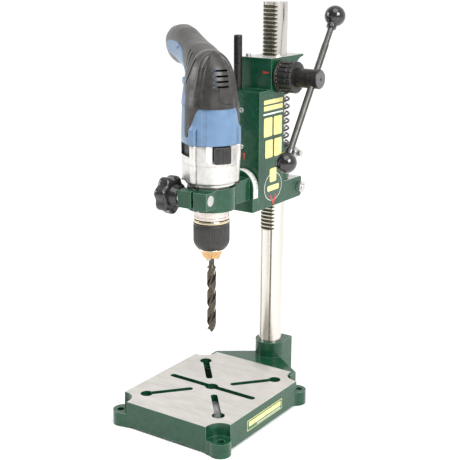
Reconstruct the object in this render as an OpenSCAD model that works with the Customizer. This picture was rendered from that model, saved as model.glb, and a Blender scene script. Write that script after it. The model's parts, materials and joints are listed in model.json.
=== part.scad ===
// Bench drill stand with a hand power drill clamped in its 43 mm collar.
// Millimetres. The origin is on the bench, under the drill's axis and at the centre of the
// four bench bolts. +Z is up, +Y points back to the column and +X to the feed lever's side.

/* [Base] */
// Width of the table, left to right
table_w = 153.4; // [150:0.2:160]
// Depth of the table, front to back
table_d = 184.4; // [180:0.2:190]
// Height of the table's top face above the bench
table_h = 33.5; // [30:0.5:38]
// Thickness of the table's plate
table_t = 9; // [7:0.5:12]
// Thickness of the skirt round the table
skirt_t = 7; // [5:0.5:9]
// Width of the clamping slots in the table
slot_w = 8; // [7:0.5:10]
// Diameter of the round end of each diagonal slot
keyhole_d = 15; // [12:0.5:18]
// Spacing of the bench bolts, left to right
bench_bolt_x = 145; // [143:0.5:147]
// Spacing of the bench bolts, front to back
bench_bolt_y = 170; // [168:0.5:172]
// Diameter of the bench bolt holes
bench_bolt_d = 9; // [7:0.5:11]

/* [Column] */
// Diameter of the column
column_d = 30; // [28:0.5:32]
// Height of the column's top above the bench
column_top = 484.5; // [480:0.5:490]
// Distance from the drill's axis back to the column's axis
column_y = 133.3; // [132:0.1:134]
// Module of the rack and its pinion
gear_module = 1.5; // [1.5]
// Teeth on the feed pinion
pinion_teeth = 12; // [12]

/* [Head] */
// Half the width of the head casting
head_hw = 21.2; // [20.5:0.1:22]
// Front face of the lower box of the head
head_front = 67.3; // [66.8:0.1:68]
// Underside of the head
head_bottom = 242; // [240:0.5:244]
// Top face of the head
head_top = 421.3; // [420:0.1:423]
// Height of the feed shaft's axis
feed_z = 399; // [397:0.5:400]
// Wall thickness of the head's box
head_wall = 3.3; // [3:0.1:3.5]

/* [Lever] */
// Distance of the lever rod's plane from the machine's middle
lever_x = 68; // [66:0.5:69]
// Lean of the lever rod from the vertical, towards the column
lever_lean = 33.6; // [30:0.2:36]
// Distance from the feed shaft to the centre of the upper ball knob
lever_up = 83.8; // [80:0.2:88]
// Distance from the feed shaft to the centre of the lower ball knob
lever_down = 107.4; // [104:0.2:110]
// Diameter of the lever's rod
lever_rod_d = 8; // [7:0.5:9]
// Diameter of the ball knobs
ball_d = 25; // [22:0.5:26]

/* [Clamp arm] */
// Height of the tilt axis above the bench
tilt_z = 271; // [270.5:0.1:271.5]
// Diameter of the clamping collar's bore
collar_d = 43; // [43]
// Height of the clamping collar
collar_h = 26.5; // [25:0.5:27]
// Radius of the star knob over its lobes
star_r = 23; // [21:0.5:24]

/* [Drill] */
// Direction of the drill's handle, turned from +X towards +Y
drill_turn = 143; // [140:1:146]
// Height of the drill bit's tip
bit_tip_z = 104; // [102:0.5:106]
// Diameter of the drill bit's fluted part
bit_d = 10.8; // [10:0.2:11]
// Diameter of the drill bit's shank
shank_d = 6.7; // [6.7]
// Distance from the spindle's axis to the motor's axis
motor_offset = 16.8; // [16.8]

/* [Hidden] */
$fn = 64;
fit = 0.04;
gap = 0.3;
cut = 1;
column_r = column_d / 2;
pitch = PI * gear_module;
pinion_r = gear_module * pinion_teeth / 2;
rack_root_y = column_y - column_r + 4;
rack_tip_y = rack_root_y - 2.25 * gear_module;
rack_pitch_y = rack_root_y - 1.27 * gear_module;
feed_y = rack_pitch_y - pinion_r;
rack_down = 41;
rack_up = 17;
boss_top = 53;
boss_r = 19.5;
boss_back = 156;
ledge_z = 384.5;
upper_front = 92.4;
upper_back = 145.6;
upper_bottom = 382;
mid_back = 122.7;
lower_top = 268;
lower_back = 168;
spring_wire = 2.5;
spring_r = 18.6;
spring_turns = 7.2;
collar_bottom = 270.4;
collar_top = 309;
collar_bolt_y = 156.3;
collar_bolt_z = 299;
pinch_y = 160.9;
pinch_z = 254.6;
steady_x = -14.7;
steady_y = 75;
steady_top = 448.4;
hub_r = 11.3;
hub_end = 77;
dial_r = 18.5;
dial_x0 = 22.8;
dial_x1 = 46.3;
ring_r = 28;
ring_z0 = 257.6;
arm_hw = 16;
flange_y0 = 55;
flange_y1 = head_front - gap - 0.3;
jaw_front = -38;
jaw_hw = 20;
jaw_z0 = 263;
jaw_h = 20;
clamp_y = -29;
clamp_z = 273.5;
knob_x = -38;
chuck_top = 242;
neck_r = 20.2;
gearbox_z0 = 294.5;
gearbox_z1 = 335.5;
barrel_z1 = 375.5;
barrel_r = 31.8;
butt_p = 140;
gland_z = 434;
trigger_top = 415;
jaw_lean = 15;

// ---- shared shapes -------------------------------------------------------------------

// Points of an arc, from angle a0 to a1 in n steps
function arc(cx, cy, r, a0, a1, n = 8) =
  [for (i = [0:n]) [cx + r * cos(a0 + (a1 - a0) * i / n), cy + r * sin(a0 + (a1 - a0) * i / n)]];

// Cylinder along +X from x0 to x1
module rod_x(r, x0, x1) {
  translate([x0, 0, 0]) rotate([0, 90, 0]) cylinder(r = r, h = x1 - x0);
}

// Cylinder along +Y from y0 to y1
module rod_y(r, y0, y1) {
  translate([0, y0, 0]) rotate([-90, 0, 0]) cylinder(r = r, h = y1 - y0);
}

// Hexagonal prism along +Z, sized across its flats
module hex(across, h) {
  cylinder(r = across / sqrt(3), h = h, $fn = 6);
}

// Ring along +Z
module ring(r_out, r_in, h) {
  difference() {
    cylinder(r = r_out, h = h);
    translate([0, 0, -cut]) cylinder(r = r_in, h = h + 2 * cut);
  }
}

// A prism of a (y, z) outline, from x0 to x1
module prism_x(outline, x0, x1) {
  translate([x0, 0, 0]) rotate([90, 0, 90]) linear_extrude(x1 - x0) polygon(outline);
}

// A box given by its lowest and highest corners
module block(a, b) {
  translate(a) cube(b - a);
}

// Everything that belongs to the hand drill, with its handle along the local +X
module drill_frame() {
  rotate([0, 0, drill_turn]) children();
}

// Two circles of one radius joined by a straight band, the drill's section
module stadium(r, p0, p1) {
  translate([p0, 0]) circle(r);
  translate([p1, 0]) circle(r);
  translate([p0, -r]) square([p1 - p0, 2 * r]);
}

// ---- base ----------------------------------------------------------------------------

// A slot with round ends between two points
module slot(a, b, w, h) {
  len_ab = norm(b - a);
  translate([a[0], a[1], -cut]) rotate([0, 0, atan2(b[1] - a[1], b[0] - a[0])]) {
    translate([0, -w / 2, 0]) cube([len_ab, w, h]);
    cylinder(d = w, h = h);
    translate([len_ab, 0, 0]) cylinder(d = w, h = h);
  }
}

// Outline of the web that joins the table to the column's boss
module web_outline(inset = 0) {
  polygon([
    [-61 + inset, table_d / 2 - 8], [61 - inset, table_d / 2 - 8], [61 - inset, 97 - inset],
    [19.5 - inset, 127], [-19.5 + inset, 127], [-61 + inset, 97 - inset]
  ]);
}

// One bench foot, a low pad that rounds each corner
module foot(sx, sy) {
  translate([sx * 70, sy * 82.5, 0]) cylinder(r = 12.5, h = 17.5);
  translate([sx * 62, sy * 78, 0]) cylinder(r = 15, h = 17.5);
}

module table_slots(h) {
  slot([-58, 0], [58, 0], slot_w, h);
  translate([0, 0, -cut]) cylinder(d = 16, h = h);
  for (sx = [-1, 1]) {
    for (sy = [-1, 1]) {
      slot([sx * 18, sy * 20.5], [sx * 52, sy * 60.5], slot_w, h);
      translate([sx * 52, sy * 60.5, -cut]) cylinder(d = keyhole_d, h = h);
    }
  }
}

module base_casting() {
  x = table_w / 2;
  y = table_d / 2;
  color([0.07, 0.27, 0.18]) difference() {
    union() {
      difference() {
        translate([-x, -y, 3]) cube([table_w, table_d, table_h - 3]);
        for (sx = [-1, 1]) {
          for (sy = [-1, 1]) {
            translate([sx * 73.5, sy * 88.5, 0]) cylinder(r = 16.8, h = table_h + cut);
          }
        }
      }
      for (sx = [-1, 1]) {
        for (sy = [-1, 1]) foot(sx, sy);
      }
      translate([0, 0, 3]) linear_extrude(table_h - 4) web_outline();
      translate([0, column_y, 0]) cylinder(r = boss_r, h = boss_top);
      block([-boss_r, column_y, 0], [boss_r, boss_back, boss_top]);
    }
    // hollow underside of the table and the web, open at the bottom
    block([-x + skirt_t, -60, -cut], [x - skirt_t, 60, table_h - table_t]);
    block([-44, -y + skirt_t, -cut], [44, y - skirt_t, table_h - table_t]);
    translate([0, 0, -cut]) linear_extrude(table_h - table_t + cut) web_outline(9);
    // column seat, left blind by the boss's floor
    translate([0, column_y, 6]) cylinder(r = column_r + 0.02, h = boss_top);
    for (z = [18, 40]) translate([0, 0, z]) rod_y(3, column_y + column_r - 1, boss_back + cut);
    translate([0, 0, table_h - table_t]) table_slots(table_t + 2 * cut);
    for (sx = [-1, 1]) {
      for (sy = [-1, 1]) {
        translate([sx * bench_bolt_x / 2, sy * bench_bolt_y / 2, -cut]) {
          cylinder(d = bench_bolt_d, h = 30);
        }
      }
    }
  }
  color([0.07, 0.27, 0.18]) difference() {
    translate([0, column_y, 0]) cylinder(r = boss_r - 1, h = 6);
    translate([0, column_y, -cut]) cylinder(r = 5, h = 8);
  }
}

module base_label() {
  color([0.9, 0.84, 0.5]) block([table_w / 2, -38, 11], [table_w / 2 + 0.4, 38, 24]);
}

module column() {
  half = pitch / 4;
  slope = tan(20);
  above = rack_pitch_y - rack_tip_y + 2;
  below = rack_root_y - rack_pitch_y;
  color([0.82, 0.81, 0.79]) difference() {
    translate([0, column_y, 6]) cylinder(r = column_r, h = column_top - 6);
    block([-column_r, column_y - column_r - cut, feed_z - (rack_down + 0.5) * pitch],
          [column_r, rack_tip_y, column_top + cut]);
    for (k = [-rack_down:rack_up]) {
      z = feed_z + k * pitch;
      prism_x([
        [rack_pitch_y - above, z - half - above * slope],
        [rack_root_y, z - half + below * slope],
        [rack_root_y, z + half - below * slope],
        [rack_pitch_y - above, z + half + above * slope]
      ], -column_r - cut, column_r + cut);
    }
    // shallow centre hole in the column's top
    translate([0, column_y, column_top - 3]) cylinder(r = 2.5, h = 4);
  }
}

module column_grub_screws() {
  color([0.2, 0.2, 0.2]) for (z = [18, 40]) {
    difference() {
      translate([0, 0, z]) rod_y(2.95, column_y + column_r + 0.05, boss_back - 0.4);
      translate([0, boss_back - 3.4, z]) rotate([-90, 0, 0]) hex(3, 4);
    }
  }
}

// ---- head ----------------------------------------------------------------------------

// Side outline of the head: lower box, ledge, upper box, rear gusset and lower bearing
function head_outline() = concat(
  [[head_front, head_bottom], [head_front, ledge_z - 2]],
  arc(head_front + 2, ledge_z - 2, 2, 180, 90, 4),
  [[upper_front, ledge_z], [upper_front, head_top], [166.2, head_top], [166.2, head_top - 2.6]],
  arc(166.2, head_top - 23.2, 20.6, 90, 180, 10),
  [[upper_back, upper_bottom + 6]],
  arc(upper_back - 6, upper_bottom + 6, 6, 0, -90, 5),
  [[mid_back + 6, upper_bottom]],
  arc(mid_back + 6, upper_bottom - 6, 6, 90, 180, 5),
  [[mid_back, lower_top + 6]],
  arc(mid_back + 6, lower_top + 6, 6, 180, 270, 5),
  [[lower_back - 4, lower_top]],
  arc(lower_back - 4, lower_top - 4, 4, 90, 0, 4),
  arc(lower_back - 4, head_bottom + 4, 4, 0, -90, 4)
);

module head_casting() {
  inner = head_hw - head_wall;
  color([0.06, 0.22, 0.15]) difference() {
    prism_x(head_outline(), -head_hw, head_hw);
    // hollow of the front box, open to the column at the back
    block([-inner, head_front + 4, lower_top], [inner, lower_back, upper_bottom]);
    block([-inner, head_front + 4, head_bottom + 4], [inner, column_y - 21, lower_top + cut]);
    translate([0, column_y, head_bottom - cut]) {
      cylinder(r = column_r + fit, h = head_top - head_bottom + 2 * cut);
    }
    // feed shaft with its bushes, and the pocket for the pinion
    translate([0, feed_y, feed_z]) {
      rod_x(8, -head_hw - cut, head_hw + cut);
      rod_x(11.4, -12, 12);
    }
    // tilt bolt
    translate([0, 0, tilt_z]) rod_y(5 + fit, head_front - cut, head_front + 6);
    // slit and pinch bolt of the lower bearing
    block([-1.25, column_y, head_bottom - cut], [1.25, lower_back + cut, lower_top + cut]);
    translate([0, pinch_y, pinch_z]) rod_x(4.2, -head_hw - cut, head_hw + cut);
    // screws and the steady rod
    for (z = [318, 361.6]) translate([-4.3, 0, z]) rod_y(3, head_front - cut, head_front + 6);
    translate([15.5, 118.1, head_top - 8]) cylinder(r = 2.5, h = 9);
    translate([-15.5, 98.5, head_top - 8]) cylinder(r = 2.5, h = 9);
    translate([steady_x, steady_y, ledge_z - 5]) cylinder(r = 2.55, h = 7);
    block([-inner - 1.1, head_front + 2.8, ledge_z - 14], [0, steady_y + 5, ledge_z - 4]);
  }
}

module front_screws() {
  color([0.45, 0.47, 0.45]) for (z = [318, 361.6]) {
    difference() {
      translate([-4.3, 0, z]) {
        rod_y(2.95, head_front - 0.5, head_front + 7);
      }
      translate([-4.3, head_front + 2, z]) rotate([90, 0, 0]) hex(3, 4);
    }
  }
}

module top_screws() {
  color([0.2, 0.2, 0.2]) {
    difference() {
      translate([15.5, 118.1, head_top - 7]) cylinder(r = 2.45, h = 7);
      translate([15.5, 118.1, head_top - 2.5]) hex(2.5, 4);
    }
    difference() {
      union() {
        translate([-15.5, 98.5, head_top - 7]) cylinder(r = 2.45, h = 7);
        translate([-15.5, 98.5, head_top]) cylinder(r = 3.4, h = 3.4);
      }
      translate([-15.5, 98.5, head_top + 1.2]) hex(3, 4);
    }
  }
}

module pinch_bolt() {
  color([0.75, 0.75, 0.73]) translate([0, pinch_y, pinch_z]) {
    rod_x(4, -head_hw - 0.5, head_hw + 8);
    translate([head_hw, 0, 0]) rotate([0, 90, 0]) {
      difference() {
        hex(13, 6.3);
        translate([0, 0, -cut]) cylinder(r = 3.9, h = 9);
      }
    }
    translate([-head_hw - 5.3, 0, 0]) rotate([0, 90, 0]) hex(13, 5.3);
  }
}

module pinion_bushes() {
  color([0.7, 0.5, 0.28]) translate([0, feed_y, feed_z]) {
    translate([12, 0, 0]) rotate([0, 90, 0]) ring(8, 6 + fit, head_hw - 12);
    translate([-head_hw, 0, 0]) rotate([0, 90, 0]) ring(8, 6 + fit, head_hw - 12);
  }
}

module index_marks() {
  color([0.65, 0.1, 0.1]) {
    // pointer beside the depth dial
    translate([0, upper_front, 0]) rotate([90, 0, 0]) linear_extrude(0.3) {
      polygon([[9.5, 406.5], [9.5, 402.5], [19.5, 404.5]]);
    }
    // pointer above the tilt scale
    translate([0, head_front, 0]) rotate([90, 0, 0]) linear_extrude(0.25) {
      polygon([[-2, 310.5], [2, 310.5], [0, 300]]);
    }
  }
}

module side_label() {
  color([0.9, 0.84, 0.5]) difference() {
    prism_x(concat(
      [[75.5, 372], [75.5, 322]],
      arc(94, 309, 22.6, 145, 395, 20),
      [[112.5, 322], [119, 372]]
    ), head_hw, head_hw + 0.4);
  }
}

module steady_rod() {
  color([0.12, 0.11, 0.11]) translate([steady_x, steady_y, 0]) {
    translate([0, 0, ledge_z]) cylinder(r = 5, h = steady_top - ledge_z - 1);
    translate([0, 0, steady_top - 1]) cylinder(r1 = 5, r2 = 4, h = 1);
    translate([0, 0, ledge_z - 10]) cylinder(r = 2.5, h = 10);
  }
}

module steady_rod_nut() {
  color([0.75, 0.75, 0.73]) translate([steady_x, steady_y, ledge_z - 8.4]) difference() {
    rotate([0, 0, 30]) hex(8, 4);
    translate([0, 0, -cut]) cylinder(r = 2.5, h = 8);
  }
}

// ---- feed ----------------------------------------------------------------------------

// The pinion's outline with one tooth along local +X
function pinion_outline() = [
  for (i = [0:pinion_teeth - 1])
    for (p = [[7.2, -11], [9, -5.5], [10.2, -1.8], [10.2, 1.8], [9, 5.5], [7.2, 11]])
      p[0] * [cos(i * 360 / pinion_teeth + p[1]), sin(i * 360 / pinion_teeth + p[1])]
];

module pinion_shaft() {
  color([0.6, 0.6, 0.6]) translate([0, feed_y, feed_z]) {
    translate([-11.5, 0, 0]) rotate([90, 0, 90]) linear_extrude(23) polygon(pinion_outline());
    difference() {
      rod_x(6, -head_hw - 4, 42);
      translate([-head_hw - 2.2, 0, 0]) rotate([0, 90, 0]) ring(7, 5.3, 1.3);
    }
  }
}

module pinion_circlip() {
  color([0.3, 0.3, 0.3]) translate([-head_hw - 2.1, feed_y, feed_z]) rotate([0, 90, 0]) {
    difference() {
      ring(8, 5.35, 1.1);
      translate([0, 0, -cut]) linear_extrude(4) polygon([[0, 0], [12, 5], [12, -5]]);
    }
  }
}

module lever_hub() {
  color([0.16, 0.15, 0.14]) translate([0, feed_y, feed_z]) difference() {
    union() {
      rod_x(hub_r, head_hw + 0.6, hub_end - 1);
      translate([hub_end - 1, 0, 0]) rotate([0, 90, 0]) {
        cylinder(r1 = hub_r, r2 = hub_r - 0.8, h = 1);
      }
    }
    rod_x(6, head_hw, 42.2);
    translate([lever_x, 0, 0]) rotate([-lever_lean, 0, 0]) {
      translate([0, 0, -20]) cylinder(d = lever_rod_d, h = 40);
    }
    rod_x(2.55, lever_x, hub_end + cut);
  }
}

module hub_grub_screw() {
  color([0.2, 0.2, 0.2]) translate([0, feed_y, feed_z]) difference() {
    rod_x(2.5, lever_x + lever_rod_d / 2 + 0.05, hub_end - 0.3);
    translate([hub_end - 2.5, 0, 0]) rotate([0, 90, 0]) hex(2.5, 4);
  }
}

// Places things on the lever: local +Z runs up the rod from the feed shaft
module lever_frame() {
  translate([lever_x, feed_y, feed_z]) rotate([-lever_lean, 0, 0]) children();
}

module lever_rod() {
  color([0.55, 0.55, 0.55]) lever_frame() {
    translate([0, 0, 46]) cylinder(r = lever_rod_d / 2 - 0.5, h = lever_up - 50);
    translate([0, 0, -lever_down + 4]) cylinder(d = lever_rod_d, h = lever_down + 42);
  }
}

// Ball knob on the rod's end; its neck points down to the hub
module ball_knob(bore_r) {
  r = ball_d / 2;
  neck_r = 6;
  rotate_extrude() {
    polygon(concat(
      [[bore_r, -16.5], [neck_r - 0.7, -16.5], [neck_r, -15.8]],
      [for (a = [-acos(neck_r / r):6:84]) [r * cos(a), r * sin(a)]],
      [[0, r], [0, -4], [bore_r, -4]]
    ));
  }
}

module upper_ball_knob() {
  color([0.1, 0.09, 0.09]) lever_frame() {
    translate([0, 0, lever_up]) ball_knob(lever_rod_d / 2 - 0.5);
  }
}

module lower_ball_knob() {
  color([0.1, 0.09, 0.09]) lever_frame() {
    translate([0, 0, -lever_down]) rotate([180, 0, 0]) ball_knob(lever_rod_d / 2);
  }
}

module depth_dial() {
  ribs = 12;
  color([0.1, 0.1, 0.1]) translate([0, feed_y, feed_z]) difference() {
    union() {
      rod_x(dial_r, dial_x0, dial_x0 + 4);
      rod_x(dial_r - 1.6, dial_x0 + 4, dial_x1);
      for (i = [0:ribs - 1]) {
        rotate([i * 360 / ribs, 0, 0]) {
          block([dial_x0 + 4, -2.6, dial_r - 4], [dial_x1 - 2, 2.6, dial_r]);
        }
      }
    }
    rod_x(hub_r + fit, dial_x0 - cut, dial_x1 + cut);
    translate([38, 0, 0]) cylinder(r = 2.5, h = dial_r + 2);
  }
}

module dial_lock_screw() {
  color([0.2, 0.2, 0.2]) translate([38, feed_y, feed_z]) difference() {
    translate([0, 0, hub_r + 0.1]) cylinder(r = 2.45, h = dial_r - hub_r - 0.7);
    translate([0, 0, dial_r - 3]) hex(2.5, 4);
  }
}

// ---- return spring and height collar -------------------------------------------------

// Centre line of the spring: one closed turn at each end and an even rise between them
function spring_z(t) = t < 1 ? t * spring_wire
  : t > spring_turns + 1 ? spring_len() - spring_wire * (spring_turns + 2 - t)
  : spring_wire + (t - 1) * (spring_len() - 2 * spring_wire) / spring_turns;
function spring_len() = upper_bottom - collar_top - spring_wire - 0.4;

module return_spring() {
  sides = 8;
  steps = 20;
  rings = floor((spring_turns + 2) * steps);
  r = spring_wire / 2;
  z0 = collar_top + r + 0.2;
  points = [
    for (i = [0:rings], j = [0:sides - 1])
      let (t = i / steps, a = 360 * t, b = 360 * j / sides)
        [(spring_r + r * cos(b)) * cos(a), (spring_r + r * cos(b)) * sin(a),
         z0 + spring_z(t) + r * sin(b)]
  ];
  sides_faces = [
    for (i = [0:rings - 1], j = [0:sides - 1])
      let (k = (j + 1) % sides)
        [i * sides + j, (i + 1) * sides + j, (i + 1) * sides + k, i * sides + k]
  ];
  ends = [[for (j = [0:sides - 1]) j], [for (j = [sides - 1:-1:0]) rings * sides + j]];
  color([0.15, 0.14, 0.13]) translate([0, column_y, 0]) {
    polyhedron(points = points, faces = concat(sides_faces, ends));
  }
}

module height_collar() {
  ear_hw = 12.5;
  color([0.25, 0.27, 0.26]) difference() {
    union() {
      translate([0, column_y, collar_bottom]) cylinder(r = 20, h = collar_top - collar_bottom);
      block([-ear_hw, column_y + 10, 291.5], [ear_hw, 164, 306.5]);
    }
    translate([0, column_y, collar_bottom - cut]) cylinder(r = column_r + fit, h = 60);
    block([-1.5, column_y, collar_bottom - cut], [1.5, 170, collar_top + cut]);
    translate([0, collar_bolt_y, collar_bolt_z]) rod_x(4.1, -20, 20);
  }
}

module collar_bolt() {
  color([0.72, 0.72, 0.7]) translate([0, collar_bolt_y, collar_bolt_z]) {
    rod_x(4, -13, 27);
    translate([-17.9, 0, 0]) rotate([0, 90, 0]) hex(13, 5.3);
    translate([12.6, 0, 0]) rotate([0, 90, 0]) ring(7, 4, 1.6);
    translate([14.2, 0, 0]) rotate([0, 90, 0]) hex(13, 6.5);
  }
}

module buffer_washer() {
  color([0.12, 0.12, 0.12]) translate([0, column_y, lower_top + 0.1]) {
    ring(18.6, column_r + 0.1, collar_bottom - lower_top - 0.1);
  }
}

// ---- clamp arm -----------------------------------------------------------------------

module clamp_arm() {
  bore_r = collar_d / 2;
  color([0.08, 0.3, 0.2]) difference() {
    union() {
      translate([0, 0, ring_z0]) cylinder(r = ring_r, h = collar_h);
      block([-arm_hw, 10, ring_z0], [arm_hw, flange_y0 + 1, ring_z0 + collar_h]);
      block([-jaw_hw, jaw_front, jaw_z0], [jaw_hw, -12, jaw_z0 + jaw_h]);
      // flange: an arch over the tilt axis with a flat foot
      translate([0, 0, tilt_z]) rod_y(head_hw, flange_y0, flange_y1);
      block([-head_hw, flange_y0, head_bottom], [head_hw, flange_y1, tilt_z]);
    }
    translate([0, 0, ring_z0 - cut]) cylinder(r = bore_r, h = collar_h + 2 * cut);
    block([-1.75, jaw_front - cut, ring_z0 - cut], [1.75, 0, ring_z0 + collar_h + cut]);
    translate([0, clamp_y, clamp_z]) {
      rod_x(4.1, -jaw_hw - cut, jaw_hw + cut);
      rod_x(6.7, jaw_hw - 4, jaw_hw + cut);
    }
    translate([0, 0, tilt_z]) {
      rod_y(5 + fit, 15, flange_y1 + cut);
      rod_y(8.5, 15, 31);
    }
  }
}

module scale_tape() {
  inner = head_hw + 0.02;
  outer = head_hw + 0.3;
  color([0.92, 0.92, 0.9]) translate([0, 0, tilt_z]) difference() {
    union() {
      rod_y(outer, flange_y0 + 1, flange_y1 - 1.2);
      block([-outer, flange_y0 + 1, -12], [outer, flange_y1 - 1.2, 0]);
    }
    rod_y(inner, flange_y0, flange_y1 + cut);
    block([-inner, flange_y0, -30], [inner, flange_y1 + cut, 0]);
    block([-30, flange_y0, -30], [30, flange_y1 + cut, -12]);
  }
}

module tilt_bolt() {
  color([0.3, 0.3, 0.3]) translate([0, 0, tilt_z]) difference() {
    union() {
      rod_y(8, 22, 30.9);
      rod_y(5, 30.9, head_front + 20);
    }
    translate([0, 20, 0]) rotate([-90, 0, 0]) hex(8, 7);
  }
}

module tilt_nut() {
  y = head_front + 4 + gap;
  color([0.72, 0.72, 0.7]) translate([0, y, tilt_z]) rotate([-90, 0, 0]) {
    ring(10, 5.05, 2);
    translate([0, 0, 2]) difference() {
      hex(16, 8);
      translate([0, 0, -cut]) cylinder(r = 5, h = 10);
    }
  }
}

module clamp_bolt() {
  color([0.85, 0.85, 0.83]) translate([0, clamp_y, clamp_z]) {
    rod_x(4, knob_x - 2, jaw_hw - 3);
    rod_x(6.5, jaw_hw - 3.8, jaw_hw - 0.6);
  }
}

module clamp_washer() {
  color([0.7, 0.7, 0.68]) translate([-jaw_hw - 1.7, clamp_y, clamp_z]) rotate([0, 90, 0]) {
    ring(8.5, 4.2, 1.6);
  }
}

module star_knob() {
  lobes = 7;
  root = 16.5;
  lobe = 6.2;
  color([0.1, 0.1, 0.1]) translate([0, clamp_y, clamp_z]) difference() {
    union() {
      rod_x(root, knob_x - 6, knob_x + 6);
      for (i = [0:lobes - 1]) {
        rotate([i * 360 / lobes + 12, 0, 0]) {
          translate([0, 0, star_r - lobe]) rod_x(lobe, knob_x - 5.5, knob_x + 5.5);
        }
      }
      rod_x(10, knob_x, -jaw_hw - 2);
    }
    rod_x(4.3, knob_x - 3, -jaw_hw);
    translate([-jaw_hw - 9, 0, 0]) rotate([0, 90, 0]) hex(13.2, 10);
  }
}

module knob_insert() {
  color([0.7, 0.7, 0.68]) translate([-jaw_hw - 8.8, clamp_y, clamp_z]) rotate([0, 90, 0]) {
    difference() {
      hex(13, 6.5);
      translate([0, 0, -cut]) cylinder(r = 4 + fit, h = 10);
    }
  }
}

// ---- hand drill ----------------------------------------------------------------------

// Puts a child at each of the four long screws that join the gearbox to the motor
module at_screws() {
  for (p = [-13.5, 21.5]) {
    for (s = [-26.2, 26.2]) translate([p, s, 0]) children();
  }
}

module gearbox_housing() {
  color([0.82, 0.81, 0.79]) drill_frame() difference() {
    union() {
      difference() {
        union() {
          translate([0, 0, chuck_top + 3.5]) cylinder(r = neck_r, h = 30);
          translate([0, 0, chuck_top + 0.5]) cylinder(r = neck_r + 0.4, h = 3);
          translate([0, 0, 259.5]) cylinder(r = collar_d / 2 - 0.05, h = 28);
          translate([3, 0, 286]) cylinder(r1 = 25, r2 = 33.5, h = gearbox_z0 - 286);
          translate([0, 0, gearbox_z0]) {
            linear_extrude(gearbox_z1 - gearbox_z0) stadium(33.5, 1, 7);
          }
        }
        // gear case
        translate([0, 0, 297]) linear_extrude(gearbox_z1) stadium(30, 1, 7);
      }
      at_screws() cylinder_from(4.5, 290.5, gearbox_z1);
      // flat backing of the selector's window
      intersection() {
        translate([0, 0, 311]) linear_extrude(gearbox_z1 - 311) stadium(33, 1, 7);
        block([-34, -15.5, 311], [-24.5, 15.5, gearbox_z1]);
      }
    }
    // spindle bore, bearing seat and screw holes
    translate([0, 0, chuck_top - 5]) cylinder(r = 7.5, h = 80);
    translate([0, 0, 270]) cylinder(r = 13, h = 40);
    at_screws() cylinder_from(1.8, 280, gearbox_z1 + cut);
    at_screws() cylinder_from(3.4, 280, 290.45);
    // window of the mode selector
    block([-40, -14, 313], [-27, 14, 333.5]);
  }
}

module housing_screws() {
  color([0.2, 0.2, 0.2]) drill_frame() at_screws() difference() {
    union() {
      cylinder_from(1.75, 290, 350);
      cylinder_from(3.2, 288, 290.4);
    }
    translate([0, 0, 287]) hex(2.5, 2.4);
  }
}

module motor_housing() {
  color([0.42, 0.6, 0.82]) drill_frame() difference() {
    union() {
      difference() {
        translate([0, 0, gearbox_z1]) {
          linear_extrude(barrel_z1 - gearbox_z1) stadium(barrel_r, 1, 9);
        }
        translate([0, 0, gearbox_z1 + 4]) linear_extrude(60) stadium(barrel_r - 2.6, 1, 9);
      }
      at_screws() cylinder_from(4.5, gearbox_z1, 357);
    }
    at_screws() cylinder_from(1.8, gearbox_z1 - cut, 353);
    translate([motor_offset, 0, gearbox_z1 - cut]) cylinder(r = 6, h = 10);
    translate([0, 0, gearbox_z1 - cut]) cylinder(r = 6, h = 4);
  }
}

// A disc across the handle at p and z
module cross_disc(p, z, r, half_width) {
  translate([p, -half_width, z]) rod_y(r, 0, 2 * half_width);
}

// Outer or inner form of the rear of the drill: a dome over the motor and the handle
module rear_form(t) {
  hull() {
    translate([0, 0, barrel_z1]) linear_extrude(1) stadium(barrel_r - 1.2 - t, 2, 8);
    translate([3, 0, 396 - t]) linear_extrude(1) circle(28.7 - t);
    translate([4, 0, 413 - t]) linear_extrude(1) circle(26 - t);
    translate([5, 0, 430 - t]) linear_extrude(1) circle(18 - t);
    translate([6, 0, 437 - t]) linear_extrude(1) circle(11 - t, $fn = 32);
  }
  hull() {
    cross_disc(18, 412, 27 - t, 22 - t);
    cross_disc(55, 426, 19 - t, 18 - t);
  }
  hull() {
    cross_disc(55, 426, 19 - t, 18 - t);
    cross_disc(108, 434, 23 - t, 17 - t);
    cross_disc(136, 434.5, 15 - t, 15 - t);
  }
}

module rear_shell(side) {
  difference() {
    rear_form(0);
    rear_form(2.8);
    translate([0, 0, barrel_z1 - cut]) linear_extrude(2) stadium(barrel_r - 4, 2, 8);
    // parting plane, trigger opening, cable outlet and butt opening
    block([-80, side > 0 ? -60 : -0.05, 300], [200, side > 0 ? 0.05 : 60, 500]);
    block([34, -7.5, 380], [64, 7.5, trigger_top + 6]);
    block([butt_p, -30, 400], [160, 30, 470]);
    translate([30.5, 0, 401]) rotate([90, 0, 0]) cylinder(r = 4.4, h = 80, center = true);
    translate([75, 0, 436]) rotate([90, 0, 0]) cylinder(r = 4, h = 60, center = true);
  }
}

module rear_shell_left() {
  color([0.38, 0.35, 0.32]) drill_frame() rear_shell(1);
}

module rear_shell_right() {
  color([0.38, 0.35, 0.32]) drill_frame() rear_shell(-1);
}

module butt_plate() {
  color([0.1, 0.1, 0.1]) drill_frame() difference() {
    intersection() {
      rear_form(0.3);
      block([butt_p + 0.1, -30, 400], [160, 30, 470]);
    }
    translate([0, 0, gland_z]) rod_x(4.3, 120, 160);
  }
}

module cable_gland() {
  color([0.08, 0.08, 0.08]) drill_frame() translate([0, 0, gland_z]) difference() {
    union() {
      rod_x(4.2, 131, 154);
      rod_x(6, 131, 136);
    }
    rod_x(2.6, 130, 155);
  }
}

module switch_module() {
  color([0.15, 0.15, 0.15]) drill_frame() difference() {
    block([36, -9.5, trigger_top + 6.6], [64, 9.5, trigger_top + 22]);
    block([41, -5.5, trigger_top + 6], [57, 5.5, trigger_top + 12.6]);
  }
}

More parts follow.
